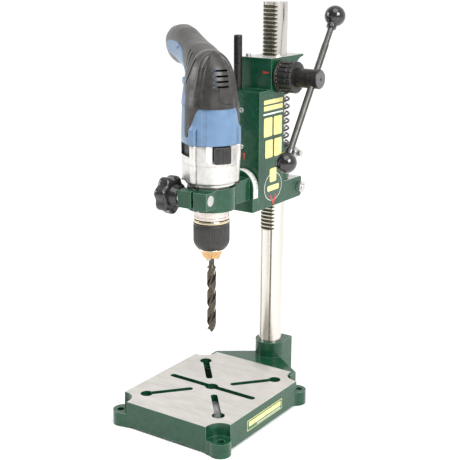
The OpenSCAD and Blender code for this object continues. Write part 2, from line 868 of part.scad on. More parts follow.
module trigger() {
  color([0.08, 0.08, 0.08]) drill_frame() difference() {
    union() {
      block([36.5, -6.8, trigger_top - 24], [61.5, 6.8, trigger_top]);
      block([42, -5, trigger_top - 1], [56, 5, trigger_top + 5.5]);
    }
    cross_disc(66, trigger_top - 28, 16, 15);
  }
}

module direction_lever() {
  lever_hw = 24;
  color([0.08, 0.08, 0.08]) drill_frame() {
    translate([30.5, 0, 401]) rod_y(4, -lever_hw, lever_hw);
  }
}

module lock_button() {
  color([0.08, 0.08, 0.08]) drill_frame() translate([75, 0, 436]) {
    rod_y(3.7, 12, 19);
  }
}

module mode_selector() {
  color([0.08, 0.08, 0.08]) drill_frame() {
    block([-34.2, -13.5, 313.4], [-27.1, 6.5, 333.1]);
  }
}

module stator() {
  color([0.35, 0.3, 0.26]) drill_frame() translate([motor_offset, 0, 350]) {
    ring(21, 12.6, 25);
  }
}

// Outline of a plain gear with one tooth along +X
function gear_outline(teeth, m, thin) = [
  for (i = [0:teeth - 1])
    for (p = [[-1.2, -thin * 1.25], [0, -thin * 0.85], [0.85, -thin * 0.4],
              [0.85, thin * 0.4], [0, thin * 0.85], [-1.2, thin * 1.25]])
      (m * (teeth / 2 + p[0])) *
        [cos((i + p[1] / 4) * 360 / teeth), sin((i + p[1] / 4) * 360 / teeth)]
];

module armature() {
  color([0.5, 0.42, 0.36]) drill_frame() translate([motor_offset, 0, 0]) {
    cylinder_from(2, 318, gearbox_z1);
    translate([0, 0, 304]) linear_extrude(14) rotate(180 / 8) polygon(gear_outline(8, 0.7, 0.9));
    cylinder_from(4, gearbox_z1, 401);
    cylinder_from(12, 351, 374);
    cylinder_from(9, 379, 389);
  }
}

// A plain round bar from z0 to z1
module cylinder_from(r, z0, z1) {
  translate([0, 0, z0]) cylinder(r = r, h = z1 - z0);
}

module cooling_fan() {
  blades = 9;
  color([0.2, 0.2, 0.2]) drill_frame() translate([motor_offset, 0, gearbox_z1 + 5]) difference() {
    union() {
      cylinder(r = 7, h = 7);
      cylinder(r = 18, h = 1.5);
      for (i = [0:blades - 1]) {
        rotate([0, 0, i * 360 / blades]) translate([5, -0.6, 0]) cube([12.5, 1.2, 6]);
      }
    }
    translate([0, 0, -cut]) cylinder(r = 4, h = 10);
  }
}

module motor_bearings() {
  color([0.7, 0.7, 0.7]) drill_frame() translate([motor_offset, 0, 0]) {
    translate([0, 0, gearbox_z1 + 0.2]) ring(5.9, 4.02, 3.8);
    translate([0, 0, 394]) ring(9.5, 4.02, 6);
  }
}

module spindle() {
  color([0.66, 0.66, 0.66]) drill_frame() {
    cylinder_from(6, 233, 268);
    cylinder_from(5, 268, gearbox_z1 + 1.5);
  }
}

module spindle_gear() {
  color([0.55, 0.55, 0.56]) drill_frame() translate([0, 0, 305]) difference() {
    linear_extrude(12) polygon(gear_outline(40, 0.7, 0.9));
    translate([0, 0, -cut]) cylinder(r = 5, h = 20);
  }
}

module spindle_bearing() {
  color([0.7, 0.7, 0.7]) drill_frame() translate([0, 0, 271]) ring(13, 5.02, 9);
}

// ---- chuck ---------------------------------------------------------------------------

module chuck_body() {
  color([0.72, 0.52, 0.28]) difference() {
    union() {
      translate([0, 0, 198.4]) cylinder(r1 = 10, r2 = 14.6, h = 11.6);
      cylinder_from(14.6, 210, 211.5);
      cylinder_from(13, 211.5, chuck_top - 0.3);
    }
    translate([0, 0, 196]) cylinder(r = 6.6, h = 12);
    translate([0, 0, 196]) cylinder(r = 3.5, h = 28);
    cylinder_from(6, 232.5, chuck_top + cut);
    for (i = [0:2]) jaw_place(i) cylinder(r = 3.1, h = 40);
  }
}

// Local +Z runs up one jaw's sliding line from the nose
module jaw_place(i) {
  rotate([0, 0, 120 * i + 30]) translate([6.4, 0, 197]) rotate([0, jaw_lean, 0]) children();
}

module jaw(i) {
  color([0.5, 0.5, 0.5]) difference() {
    jaw_place(i) translate([0, 0, -1]) cylinder(r = 3, h = 20);
    cylinder_from(shank_d / 2 + 0.02, 190, 230);
  }
}

module jaw_1() {
  jaw(0);
}

module jaw_2() {
  jaw(1);
}

module jaw_3() {
  jaw(2);
}

module chuck_sleeve() {
  color([0.1, 0.09, 0.09]) difference() {
    union() {
      translate([0, 0, 208.7]) cylinder(r1 = 15.6, r2 = 21.2, h = 10.5);
      cylinder_from(21.2, 219.2, chuck_top - 0.8);
      cylinder_from(20.6, chuck_top - 0.8, chuck_top);
    }
    translate([0, 0, 200]) cylinder(r = 14.6 + fit, h = 12);
    cylinder_from(13 + fit, 211, chuck_top + cut);
    translate([0, 0, 212]) cylinder(r1 = 15.2, r2 = 18.4, h = 9);
    cylinder_from(18.4, 221, chuck_top - 2);
  }
}

module drill_bit() {
  flute = 82;
  color([0.12, 0.11, 0.1]) {
    translate([0, 0, bit_tip_z + 5]) {
      linear_extrude(height = flute - 6, twist = -flute / 51 * 360, slices = 60) bit_section();
    }
    translate([0, 0, bit_tip_z + 1.5]) cylinder(r1 = 1.4, r2 = bit_d / 2 - 1.6, h = 3.5);
    translate([0, 0, bit_tip_z]) cylinder(r1 = 0.2, r2 = 1.4, h = 1.5);
    cylinder_from(shank_d / 2, bit_tip_z + flute - 2, 222);
    translate([0, 0, bit_tip_z + flute - 1]) cylinder(r1 = bit_d / 2, r2 = shank_d / 2, h = 3);
  }
}

// Section of the fluted part: a web with two lands
module bit_section() {
  r = bit_d / 2;
  difference() {
    circle(r, $fn = 32);
    for (s = [-1, 1]) translate([s * r * 0.98, s * 1.2]) circle(r * 0.72, $fn = 24);
  }
}

base_casting();
base_label();
column();
column_grub_screws();
head_casting();
front_screws();
top_screws();
pinch_bolt();
pinion_bushes();
index_marks();
side_label();
steady_rod();
steady_rod_nut();
pinion_shaft();
pinion_circlip();
lever_hub();
hub_grub_screw();
lever_rod();
upper_ball_knob();
lower_ball_knob();
depth_dial();
dial_lock_screw();
return_spring();
height_collar();
collar_bolt();
buffer_washer();
clamp_arm();
scale_tape();
tilt_bolt();
tilt_nut();
clamp_bolt();
clamp_washer();
star_knob();
knob_insert();
gearbox_housing();
housing_screws();
motor_housing();
rear_shell_left();
rear_shell_right();
butt_plate();
cable_gland();
switch_module();
trigger();
direction_lever();
lock_button();
mode_selector();
stator();
armature();
cooling_fan();
motor_bearings();
spindle();
spindle_gear();
spindle_bearing();
chuck_body();
chuck_sleeve();
jaw_1();
jaw_2();
jaw_3();
drill_bit();
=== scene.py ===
"""A bench drill stand with a hand power drill clamped in its collar.

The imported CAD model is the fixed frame. This script rounds its castings, builds the shaped
and moulded parts that the CAD only blocks out, and gives every surface a procedural material.
Lengths are written in millimetres and scaled once by MM.
"""
import json
import math

import bmesh
import bpy
from mathutils import Matrix, Vector
from mathutils.bvhtree import BVHTree


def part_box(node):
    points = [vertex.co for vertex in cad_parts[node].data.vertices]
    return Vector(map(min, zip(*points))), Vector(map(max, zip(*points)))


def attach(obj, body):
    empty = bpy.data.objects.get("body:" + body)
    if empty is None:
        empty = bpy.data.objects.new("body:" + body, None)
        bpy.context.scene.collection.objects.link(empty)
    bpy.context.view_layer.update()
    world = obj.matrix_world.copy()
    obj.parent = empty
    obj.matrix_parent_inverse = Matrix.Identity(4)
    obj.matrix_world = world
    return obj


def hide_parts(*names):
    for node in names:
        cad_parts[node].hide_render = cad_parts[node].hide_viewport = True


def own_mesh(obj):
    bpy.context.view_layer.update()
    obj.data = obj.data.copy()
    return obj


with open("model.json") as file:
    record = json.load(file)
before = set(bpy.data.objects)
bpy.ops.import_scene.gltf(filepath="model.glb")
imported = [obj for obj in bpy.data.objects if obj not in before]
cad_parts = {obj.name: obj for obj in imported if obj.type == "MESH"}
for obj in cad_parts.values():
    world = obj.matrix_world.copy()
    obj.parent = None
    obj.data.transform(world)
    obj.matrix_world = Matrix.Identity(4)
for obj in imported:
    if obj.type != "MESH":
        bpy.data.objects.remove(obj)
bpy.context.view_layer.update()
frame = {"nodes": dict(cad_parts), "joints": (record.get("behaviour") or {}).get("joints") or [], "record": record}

MM = 0.001

# ---- main sizes, read from the frame --------------------------------------------------


def box_mm(node):
    """The lowest and highest corner of a CAD node, in millimetres."""
    low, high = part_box(node)
    return low / MM, high / MM


column_low, column_high = box_mm("column")
COLUMN_Y = (column_low.y + column_high.y) / 2
COLUMN_R = (column_high.x - column_low.x) / 2
DRILL_TURN = math.radians(143)
FAR = 70  # where rays that land on the drill's front start
BESIDE = 60  # where rays that land on its sides start


def joint_place(name):
    """Where a hinge of the frame is, in millimetres."""
    joint = next(j for j in frame["joints"] if j["name"] == name)
    return Vector(joint["pos_m"]) / MM


FEED = joint_place("lever_turn")
TILT = joint_place("arm_tilt")
STAR = joint_place("star_turn")


def drill_point(p, s, z):
    """A point of the hand drill: p runs to its handle, s to its left and z up its spindle."""
    c, n = math.cos(DRILL_TURN), math.sin(DRILL_TURN)
    return Vector((p * c - s * n, p * n + s * c, z))


# ---- materials ------------------------------------------------------------------------


def surface(name, dark, light, rough, metallic=0.0, grain=260, stretch=(1, 1, 1),
            bump=0.12, bump_scale=1400, depth=0.06, coat=0.0, edge_highlight=None, edge_highlight_radius=0.9,
            rough_spread=0.25, sheen=0.0, specular=0.5):
    """A material whose tone, roughness and height each come from noise in the row frame.

    dark and light are the ends of its tone; grain and bump_scale are noise frequencies per
    metre; depth is the bump's height in millimetres; the edge colour is a painted highlight,
    a paler tone laid along sharp edges over a radius and broken up by noise.
    """
    material = bpy.data.materials.new(name)
    material.use_nodes = True
    nodes, links = material.node_tree.nodes, material.node_tree.links
    shader = nodes["Principled BSDF"]
    shader.inputs["Metallic"].default_value = metallic
    shader.inputs["Coat Weight"].default_value = coat
    shader.inputs["Coat Roughness"].default_value = 0.08
    shader.inputs["Sheen Weight"].default_value = sheen
    shader.inputs["Specular IOR Level"].default_value = specular
    place = nodes.new("ShaderNodeTexCoord")
    mapping = nodes.new("ShaderNodeMapping")
    mapping.inputs["Scale"].default_value = stretch
    links.new(place.outputs["Object"], mapping.inputs["Vector"])

    def noise(scale, detail):
        node = nodes.new("ShaderNodeTexNoise")
        node.inputs["Scale"].default_value = scale
        node.inputs["Detail"].default_value = detail
        links.new(mapping.outputs["Vector"], node.inputs["Vector"])
        return node.outputs["Fac"]

    tone = nodes.new("ShaderNodeValToRGB")
    tone.color_ramp.elements[0].position = 0.3
    tone.color_ramp.elements[0].color = (*dark, 1)
    tone.color_ramp.elements[1].position = 0.7
    tone.color_ramp.elements[1].color = (*light, 1)
    links.new(noise(grain, 6), tone.inputs["Fac"])
    colour = tone.outputs["Color"]
    # Painted highlight: a paler colour laid on sharp edges, found from the bevel normal and broken up by noise.
    if edge_highlight:
        edge = nodes.new("ShaderNodeBevel")
        edge.samples = 4
        edge.inputs["Radius"].default_value = edge_highlight_radius * MM
        flat = nodes.new("ShaderNodeNewGeometry")
        dot = nodes.new("ShaderNodeVectorMath")
        dot.operation = "DOT_PRODUCT"
        links.new(edge.outputs["Normal"], dot.inputs[0])
        links.new(flat.outputs["Normal"], dot.inputs[1])
        mask = nodes.new("ShaderNodeMapRange")
        mask.inputs["From Min"].default_value = 0.995
        mask.inputs["From Max"].default_value = 0.86
        links.new(dot.outputs["Value"], mask.inputs["Value"])
        broken = nodes.new("ShaderNodeMath")
        broken.operation = "MULTIPLY"
        links.new(mask.outputs["Result"], broken.inputs[0])
        links.new(noise(grain * 0.35, 4), broken.inputs[1])
        mix = nodes.new("ShaderNodeMix")
        mix.data_type = "RGBA"
        mix.inputs["B"].default_value = (*edge_highlight, 1)
        links.new(broken.outputs["Value"], mix.inputs["Factor"])
        links.new(colour, mix.inputs["A"])
        colour = mix.outputs["Result"]
    links.new(colour, shader.inputs["Base Color"])

    spread = nodes.new("ShaderNodeMapRange")
    spread.inputs["From Min"].default_value = 0.3
    spread.inputs["From Max"].default_value = 0.7
    spread.inputs["To Min"].default_value = rough * (1 - rough_spread)
    spread.inputs["To Max"].default_value = min(1.0, rough * (1 + rough_spread))
    links.new(noise(grain * 0.5, 5), spread.inputs["Value"])
    links.new(spread.outputs["Result"], shader.inputs["Roughness"])

    height = nodes.new("ShaderNodeBump")
    height.inputs["Strength"].default_value = bump
    height.inputs["Distance"].default_value = depth * MM
    links.new(noise(bump_scale, 3), height.inputs["Height"])
    links.new(height.outputs["Normal"], shader.inputs["Normal"])
    return material


# The green's pale edge colour is a painted highlight along the castings' corners.
GREEN = surface("green_enamel", (0.004, 0.041, 0.018), (0.007, 0.064, 0.029), 0.27, grain=120,
                bump=0.25, bump_scale=330, depth=0.10, coat=0.2, edge_highlight=(0.30, 0.50, 0.38),
                specular=0.35)
GROUND = surface("ground_iron", (0.44, 0.42, 0.385), (0.54, 0.52, 0.485), 0.40, metallic=0.4,
                 grain=40, stretch=(1, 3, 1), bump=0.15, bump_scale=900, depth=0.02)
BARE = surface("bare_iron", (0.42, 0.41, 0.39), (0.66, 0.65, 0.62), 0.4, metallic=0.5,
               grain=300, bump=0.3, bump_scale=800, depth=0.05)
BAR = surface("ground_bar", (0.60, 0.57, 0.53), (0.68, 0.65, 0.61), 0.26, metallic=1.0,
              grain=60, stretch=(1, 1, 0.2), bump=0.03, bump_scale=700, depth=0.01,
              rough_spread=0.1)
# Painted shade: a dark tone laid on the rack's tooth flanks and roots.
RACK_SHADE = surface("rack_painted_shade", (0.10, 0.093, 0.058), (0.24, 0.225, 0.15), 0.4, metallic=0.6,
               grain=200, bump=0.15)
ZINC = surface("zinc_plate", (0.50, 0.50, 0.49), (0.70, 0.70, 0.68), 0.30, metallic=1.0,
               grain=420, bump=0.1)
DARK_STEEL = surface("blackened_steel", (0.022, 0.020, 0.019), (0.055, 0.050, 0.047), 0.34,
                     metallic=0.7, grain=350, bump=0.15, edge_highlight=(0.16, 0.15, 0.14))
STEEL = surface("turned_steel", (0.34, 0.33, 0.32), (0.50, 0.49, 0.47), 0.26, metallic=1.0,
                grain=200, stretch=(5, 1, 1), bump=0.1, depth=0.02)
ROD_STEEL = surface("lever_steel", (0.065, 0.062, 0.058), (0.105, 0.10, 0.095), 0.34,
                    metallic=0.7, grain=120, bump=0.04, depth=0.02, rough_spread=0.1)
SPRING = surface("spring_wire", (0.030, 0.028, 0.025), (0.075, 0.068, 0.060), 0.32,
                 metallic=0.8, grain=500, bump=0.15)
BRONZE = surface("bronze_bush", (0.42, 0.28, 0.13), (0.58, 0.40, 0.21), 0.35, metallic=1.0)
NOSE = surface("chuck_nose", (0.50, 0.29, 0.12), (0.72, 0.46, 0.22), 0.26, metallic=1.0,
               grain=220, stretch=(1, 1, 5), bump=0.12, depth=0.03)
BALL = surface("black_ball", (0.004, 0.004, 0.004), (0.009, 0.009, 0.009), 0.09, coat=0.6,
               grain=60, bump=0.05, bump_scale=300, depth=0.03)
KNOB = surface("moulded_black", (0.010, 0.010, 0.010), (0.022, 0.021, 0.020), 0.32, grain=240,
               bump=0.35, bump_scale=2200, depth=0.04, edge_highlight=(0.07, 0.068, 0.065))
MATTE = surface("matte_black", (0.008, 0.008, 0.008), (0.018, 0.018, 0.017), 0.5, grain=300,
                bump=0.3, bump_scale=2400, depth=0.04)
# Near-black lining: painted shade inside the air slots, the vents' deep parts and the selector window's pocket; it
# also colours the shield's dark joint line.
SHADE_AND_JOINT_BLACK = surface("painted_shade_and_joint_black", (0.002, 0.002, 0.002), (0.004, 0.004, 0.004), 0.9)
BUFFER = surface("buffer_rubber", (0.012, 0.012, 0.012), (0.028, 0.027, 0.026), 0.7, bump=0.4)
YELLOW = surface("label_yellow", (0.66, 0.58, 0.20), (0.78, 0.71, 0.28), 0.3, grain=150,
                 coat=0.3, bump=0.05)
LABEL_DARK = surface("label_green", (0.010, 0.042, 0.024), (0.015, 0.055, 0.032), 0.3,
                     coat=0.3, bump=0.05)
LABEL_GREEN = surface("print_green", (0.010, 0.105, 0.045), (0.014, 0.125, 0.055), 0.3,
                      coat=0.2, bump=0.05)
LABEL_WHITE = surface("label_white", (0.62, 0.62, 0.55), (0.76, 0.76, 0.69), 0.35, bump=0.05)
RED = surface("mark_red", (0.30, 0.02, 0.015), (0.45, 0.04, 0.03), 0.35, bump=0.1)
TAPE = surface("scale_tape", (0.62, 0.62, 0.58), (0.75, 0.75, 0.71), 0.4, grain=200, bump=0.1)
ALLOY = surface("cast_alloy", (0.56, 0.545, 0.52), (0.68, 0.665, 0.64), 0.34, metallic=0.8,
                grain=200, bump=0.25, bump_scale=1500, depth=0.04)
BLUE = surface("blue_shell", (0.095, 0.172, 0.285), (0.125, 0.215, 0.345), 0.36, grain=110,
               bump=0.3, bump_scale=2600, depth=0.03, coat=0.15)
RUBBER = surface("grip_rubber", (0.017, 0.0155, 0.0135), (0.031, 0.028, 0.024), 0.36, grain=140,
                 bump=0.4, bump_scale=2600, depth=0.04, sheen=0.08)
HUB_END = surface("hub_face", (0.10, 0.10, 0.10), (0.17, 0.17, 0.165), 0.38, metallic=0.6,
                  grain=300, bump=0.2)
SLATE = surface("vent_floor", (0.07, 0.09, 0.14), (0.12, 0.15, 0.22), 0.5)
WINDOW_WHITE = surface("window_white", (0.70, 0.70, 0.69), (0.80, 0.80, 0.79), 0.4, bump=0.05)
WARM_STEEL = surface("neck_steel", (0.52, 0.46, 0.42), (0.78, 0.71, 0.66), 0.34, metallic=0.8,
                     grain=260, stretch=(1, 1, 3), bump=0.3, bump_scale=900, depth=0.04)
SLEEVE = surface("sleeve_black", (0.016, 0.015, 0.014), (0.034, 0.032, 0.030), 0.42,
                 metallic=0.1, grain=300, bump=0.2, edge_highlight=(0.09, 0.08, 0.07))
PALE_GOLD = surface("pale_gold", (0.72, 0.60, 0.40), (0.86, 0.76, 0.56), 0.2, metallic=1.0,
                    grain=200, stretch=(1, 1, 5), bump=0.08, depth=0.02)
STAR_BLACK = surface("star_black", (0.006, 0.006, 0.006), (0.014, 0.013, 0.013), 0.24,
                     grain=160, bump=0.2, bump_scale=900, depth=0.04, coat=0.3)
DIAL_BLACK = surface("dial_black", (0.009, 0.009, 0.009), (0.020, 0.019, 0.018), 0.4,
                     grain=240, bump=0.3, bump_scale=2200, depth=0.04,
                     edge_highlight=(0.06, 0.058, 0.055))
COPPER = surface("winding", (0.30, 0.13, 0.05), (0.5, 0.25, 0.12), 0.4, metallic=0.8)
# The bit's pale edge colour is a painted highlight on its edges.
BIT = surface("bit_steel", (0.040, 0.034, 0.026), (0.115, 0.098, 0.074), 0.26, metallic=0.9,
              grain=400, bump=0.12, edge_highlight=(0.30, 0.28, 0.25), edge_highlight_radius=0.5)

CAD_MATERIALS = {
    "base_casting": GREEN, "base_label": YELLOW, "column": BAR, "column_grub_screws": DARK_STEEL,
    "head_casting": GREEN, "front_screws": ZINC, "top_screws": ZINC, "pinch_bolt": ZINC,
    "pinion_bushes": BRONZE, "index_marks": RED, "side_label": YELLOW,
    "steady_rod": DARK_STEEL, "steady_rod_nut": ZINC, "pinion_shaft": STEEL,
    "pinion_circlip": DARK_STEEL, "lever_hub": DARK_STEEL, "hub_grub_screw": HUB_END,
    "lever_rod": ROD_STEEL, "upper_ball_knob": BALL, "lower_ball_knob": BALL,
    "depth_dial": MATTE, "dial_lock_screw": DARK_STEEL, "return_spring": SPRING,
    "height_collar": GREEN, "collar_bolt": ZINC, "buffer_washer": BUFFER, "clamp_arm": GREEN,
    "scale_tape": TAPE, "tilt_bolt": DARK_STEEL, "tilt_nut": ZINC, "clamp_bolt": ZINC,
    "clamp_washer": ZINC, "star_knob": KNOB, "knob_insert": ZINC, "gearbox_housing": ALLOY,
    "housing_screws": DARK_STEEL, "motor_housing": BLUE, "rear_shell_left": RUBBER,
    "rear_shell_right": RUBBER, "butt_plate": MATTE, "cable_gland": BUFFER,
    "switch_module": MATTE, "trigger": MATTE, "direction_lever": BLUE, "lock_button": BLUE,
    "mode_selector": KNOB, "stator": COPPER, "armature": COPPER, "cooling_fan": MATTE,
    "motor_bearings": STEEL, "spindle": STEEL, "spindle_gear": STEEL, "spindle_bearing": STEEL,
    "chuck_body": NOSE, "chuck_sleeve": KNOB, "jaw_1": STEEL, "jaw_2": STEEL, "jaw_3": STEEL,
    "drill_bit": BIT,
}
for node, material in CAD_MATERIALS.items():
    mesh = frame["nodes"][node].data
    mesh.materials.clear()
    mesh.materials.append(material)

BODY_OF = {node: body for body, nodes in frame["record"]["behaviour"]["bodies"].items()
           for node in nodes}

# ---- mesh helpers ---------------------------------------------------------------------


def piece(name, mesh, materials, node, stands_for=()):
    """Adds a mesh as a piece that rides with a CAD node's body and takes its finish. A mesh
    that has its materials already comes with None."""
    obj = bpy.data.objects.new(name, mesh)
    bpy.context.scene.collection.objects.link(obj)
    if materials:
        mesh.materials.clear()
        for material in materials:
            mesh.materials.append(material)
    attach(obj, BODY_OF[node])
    if stands_for:
        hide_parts(*stands_for)
    return obj


def applied(obj):
    """The object's mesh with its modifiers applied; the object itself is removed."""
    graph = bpy.context.evaluated_depsgraph_get()
    mesh = bpy.data.meshes.new_from_object(obj.evaluated_get(graph))
    bpy.data.objects.remove(obj)
    return mesh


def loose(mesh):
    """A scratch object that holds a mesh while modifiers run on it."""
    obj = bpy.data.objects.new("scratch", mesh)
    bpy.context.scene.collection.objects.link(obj)
    return obj


def finish_mesh(bm, name="form", sharp=40):
    """A mesh from bm, smooth apart from edges sharper than an angle."""
    bmesh.ops.recalc_face_normals(bm, faces=bm.faces)
    mesh = bpy.data.meshes.new(name)
    bm.to_mesh(mesh)
    bm.free()
    mesh.shade_smooth()
    mesh.set_sharp_from_angle(angle=math.radians(sharp))
    return mesh


def rounded(mesh, width, segments=3, angle=35):
    """The mesh with every edge sharper than an angle rounded over a width."""
    obj = loose(mesh)
    bevel = obj.modifiers.new("edges", "BEVEL")
    bevel.width = width * MM
    bevel.segments = segments
    bevel.limit_method = "ANGLE"
    bevel.angle_limit = math.radians(angle)
    even = obj.modifiers.new("shading", "WEIGHTED_NORMAL")
    even.keep_sharp = True
    return applied(obj)


def node_copy(node):
    """A clean bmesh of a CAD node: welded, with its flat faces joined."""
    bm = bmesh.new()
    bm.from_mesh(frame["nodes"][node].data)
    bmesh.ops.remove_doubles(bm, verts=bm.verts, dist=0.003 * MM)
    bmesh.ops.dissolve_limit(bm, angle_limit=math.radians(0.4), verts=bm.verts, edges=bm.edges)
    return bm


def skin(node, width, materials, pick=None, segments=3):
    """A CAD node's form with rounded edges. pick gives a face's material from its middle
    and normal, in millimetres."""
    mesh = rounded(finish_mesh(node_copy(node)), width, segments)
    obj = piece(node + "_skin", mesh, materials, node, [node])
    if pick:
        for face in mesh.polygons:
            face.material_index = pick(Vector(face.center) / MM, face.normal)
    return obj


def step(low, high, value):
    """Rises smoothly from 0 at low to 1 at high."""
    share = min(1.0, max(0.0, (value - low) / (high - low)))
    return share * share * (3 - 2 * share)


def band(low, high, value, soft=1.0):
    """1 between low and high, fading to 0 over soft outside them."""
    return step(low - soft, low, value) * (1 - step(high, high + soft, value))


def spread(start, end, count):
    """Evenly spaced numbers from start to end."""
    return [start + (end - start) * k / (count - 1) for k in range(count)]


def turns(count):
    """Evenly spaced angles round a full turn."""
    return [math.tau * k / count for k in range(count)]


def through(points, count):
    """Places on a smooth curve through a few points."""
    points = [Vector(point) for point in points]
    padded = [2 * points[0] - points[1], *points, 2 * points[-1] - points[-2]]
    places = []
    for along in spread(0, len(points) - 1, count):
        i = min(int(along), len(points) - 2)
        a, b, c, d = padded[i:i + 4]
        t = along - i
        places.append(b + 0.5 * t * (c - a + t * (2 * a - 5 * b + 4 * c - d
                                                  + t * (3 * b - 3 * c + d - a))))
    return places


def join_rings(bm, rings, index=0):
    """Joins closed rings of points, in millimetres, and caps both ends."""
    made = [[bm.verts.new(point * MM) for point in ring] for ring in rings]
    faces = [bm.faces.new(made[0]), bm.faces.new(reversed(made[-1]))]
    for a, b in zip(made, made[1:]):
        faces += [bm.faces.new((a[k], a[k - 1], b[k - 1], b[k])) for k in range(len(a))]
    for face in faces:
        face.material_index = index


def loft(bm, sections, sides=64, index=0):
    """Joins closed sections, each a function from an angle to a point."""
    join_rings(bm, [[section(angle) for angle in turns(sides)] for section in sections], index)


def about_z(height, radius, angle):
    return Vector((radius * math.cos(angle), radius * math.sin(angle), height))


def about_x(centre):
    """Places a turned form round the X axis through a centre."""
    def point(height, radius, angle):
        return Vector((height, centre.y + radius * math.cos(angle),
                       centre.z + radius * math.sin(angle)))
    return point


def spun(bm, rows, place=about_z, sides=96, index=0):
    """A turned form. rows are (height, radius) pairs; a radius may be a function of the
    angle."""
    rings = []
    for height, radius in rows:
        reach = radius if callable(radius) else (lambda angle, r=radius: r)
        rings.append([place(height, reach(angle), angle) for angle in turns(sides)])
    join_rings(bm, rings, index)


def tube(bm, places, radius, sides=12, index=0):
    """A round rod along a line of places, in millimetres, with rounded ends."""
    rings = []
    side = None
    last = len(places) - 1
    for i, place in enumerate(places):
        ahead = (places[min(i + 1, last)] - places[max(i - 1, 0)]).normalized()
        side = ahead.orthogonal() if side is None else side - ahead * side.dot(ahead)
        side.normalize()
        up = ahead.cross(side)
        reach = radius * (0.5 if i in (0, last) else 1)
        rings.append([place + (side * math.cos(a) + up * math.sin(a)) * reach
                      for a in turns(sides)])
    join_rings(bm, rings, index)


def slab(bm, low, high, index=0):
    """A box between two corners, in millimetres."""
    corners = [Vector((x, y, z)) for z in (low[2], high[2])
               for x, y in ((low[0], low[1]), (high[0], low[1]), (high[0], high[1]),
                            (low[0], high[1]))]
    join_rings(bm, [corners[:4], corners[4:]], index)


def tree_of(*meshes):
    """One search tree over several meshes, for casting rays at their surfaces."""
    points, faces = [], []
    for mesh in meshes:
        first = len(points)
        points += [v.co.copy() for v in mesh.vertices]
        faces += [[first + k for k in face.vertices] for face in mesh.polygons]
    return BVHTree.FromPolygons(points, faces)


def landing(form, start, toward):
    """Where a ray from start meets a form, in millimetres, with the smoothed normal."""
    toward = toward.normalized()
    hit = form.ray_cast(start * MM, toward)[0]
    if hit is None:
        hit = form.find_nearest((start + toward * 60) * MM)[0]
    near = form.find_nearest_range(hit, 3 * MM)
    normal = sum((row[1] for row in near), Vector()).normalized()
    return hit / MM, normal


def strip(bm, left, right, place, rise, depth=2.0, across=18, index=0):
    """A raised band on a form, from its left edge to its right. place turns an edge's own
    coordinates into a point and a normal; rise gives the height from the share across and
    the share along."""
    rings = []
    for i, (a, b) in enumerate(zip(left, right)):
        along = i / (len(left) - 1)
        top, bottom = [], []
        for k in range(across + 1):
            share = 0.5 - 0.5 * math.cos(math.pi * k / across)
            point, normal = place(a.lerp(b, share))
            top.append(point + normal * rise(share, along))
            bottom.append(point - normal * depth)
        rings.append(top + bottom[::-1])
    join_rings(bm, rings, index)


def pillow(lift, sink=0.35, power=8, ends=14):
    """A rise that is flat in the middle and rounds down to its edges and ends."""
    def rise(share, along):
        edge = (1 - abs(2 * share - 1) ** power) ** 0.5
        end = (1 - abs(2 * along - 1) ** ends) ** 0.5
        return (lift + sink) * edge * end - sink
    return rise


def carved(mesh, cutters, operation="DIFFERENCE"):
    """The mesh cut by other meshes, whose materials line the cuts."""
    obj = loose(mesh)
    tools = [loose(cutter) for cutter in cutters]
    for tool in tools:
        cut = obj.modifiers.new("cut", "BOOLEAN")
        cut.operation = operation
        cut.solver = "MANIFOLD"
        cut.material_mode = "TRANSFER"
        cut.object = tool
    result = applied(obj)
    for tool in tools:
        bpy.data.objects.remove(tool)
    result.shade_smooth()
    result.set_sharp_from_angle(angle=math.radians(38))
    return result


def with_material(bm, *materials, sharp=40):
    """The finished mesh of bm with its materials."""
    mesh = finish_mesh(bm, "form", sharp)
    for material in materials:
        mesh.materials.append(material)
    return mesh


# ---- castings, column and fasteners: CAD forms with rounded edges ---------------------

TABLE_TOP = 33.5
HEAD_TOP = box_mm("head_casting")[1].z
LOWER_BEARING_TOP = 268
BEARING_FRONT_Y = 110
RACK_ROOT = COLUMN_Y - COLUMN_R + 4
TOOTH_DEPTH = 2.25 * 1.5  # of a module 1.5 rack
RACK_TIP = RACK_ROOT - TOOTH_DEPTH


def base_face(middle, normal):
    return 1 if normal.z > 0.9 and abs(middle.z - TABLE_TOP) < 0.2 else 0


def head_face(middle, normal):
    top = normal.z > 0.9 and middle.z > HEAD_TOP - 1
    bearing = (normal.z > 0.9 and abs(middle.z - LOWER_BEARING_TOP) < 1
               and middle.y > BEARING_FRONT_Y)
    return 1 if top or bearing else 0


def column_face(middle, normal):
    """The rack's flanks and roots take a dark colour as painted shade; its tips and the bar are bright."""
    return int(middle.y < COLUMN_Y - 8 and (abs(normal.z) > 0.3 or middle.y > RACK_TIP + 0.6)
               and abs(normal.x) < 0.5)


skin("base_casting", 1.1, [GREEN, GROUND], base_face)
skin("head_casting", 1.0, [GREEN, BARE], head_face)
skin("clamp_arm", 1.2, [GREEN])
skin("height_collar", 0.9, [GREEN])
skin("lever_hub", 0.6, [DARK_STEEL, HUB_END], lambda middle, normal: int(normal.x > 0.95))
skin("column", 0.2, [BAR, RACK_SHADE], column_face, 2)
SMALL_EDGES = {"pinch_bolt": 0.45, "collar_bolt": 0.4, "tilt_nut": 0.4, "tilt_bolt": 0.4,
               "clamp_bolt": 0.4, "front_screws": 0.3, "top_screws": 0.3, "steady_rod": 0.5}
for node, width in SMALL_EDGES.items():
    skin(node, width, [CAD_MATERIALS[node]], segments=2)

# ---- drill: rear shell and handle -----------------------------------------------------

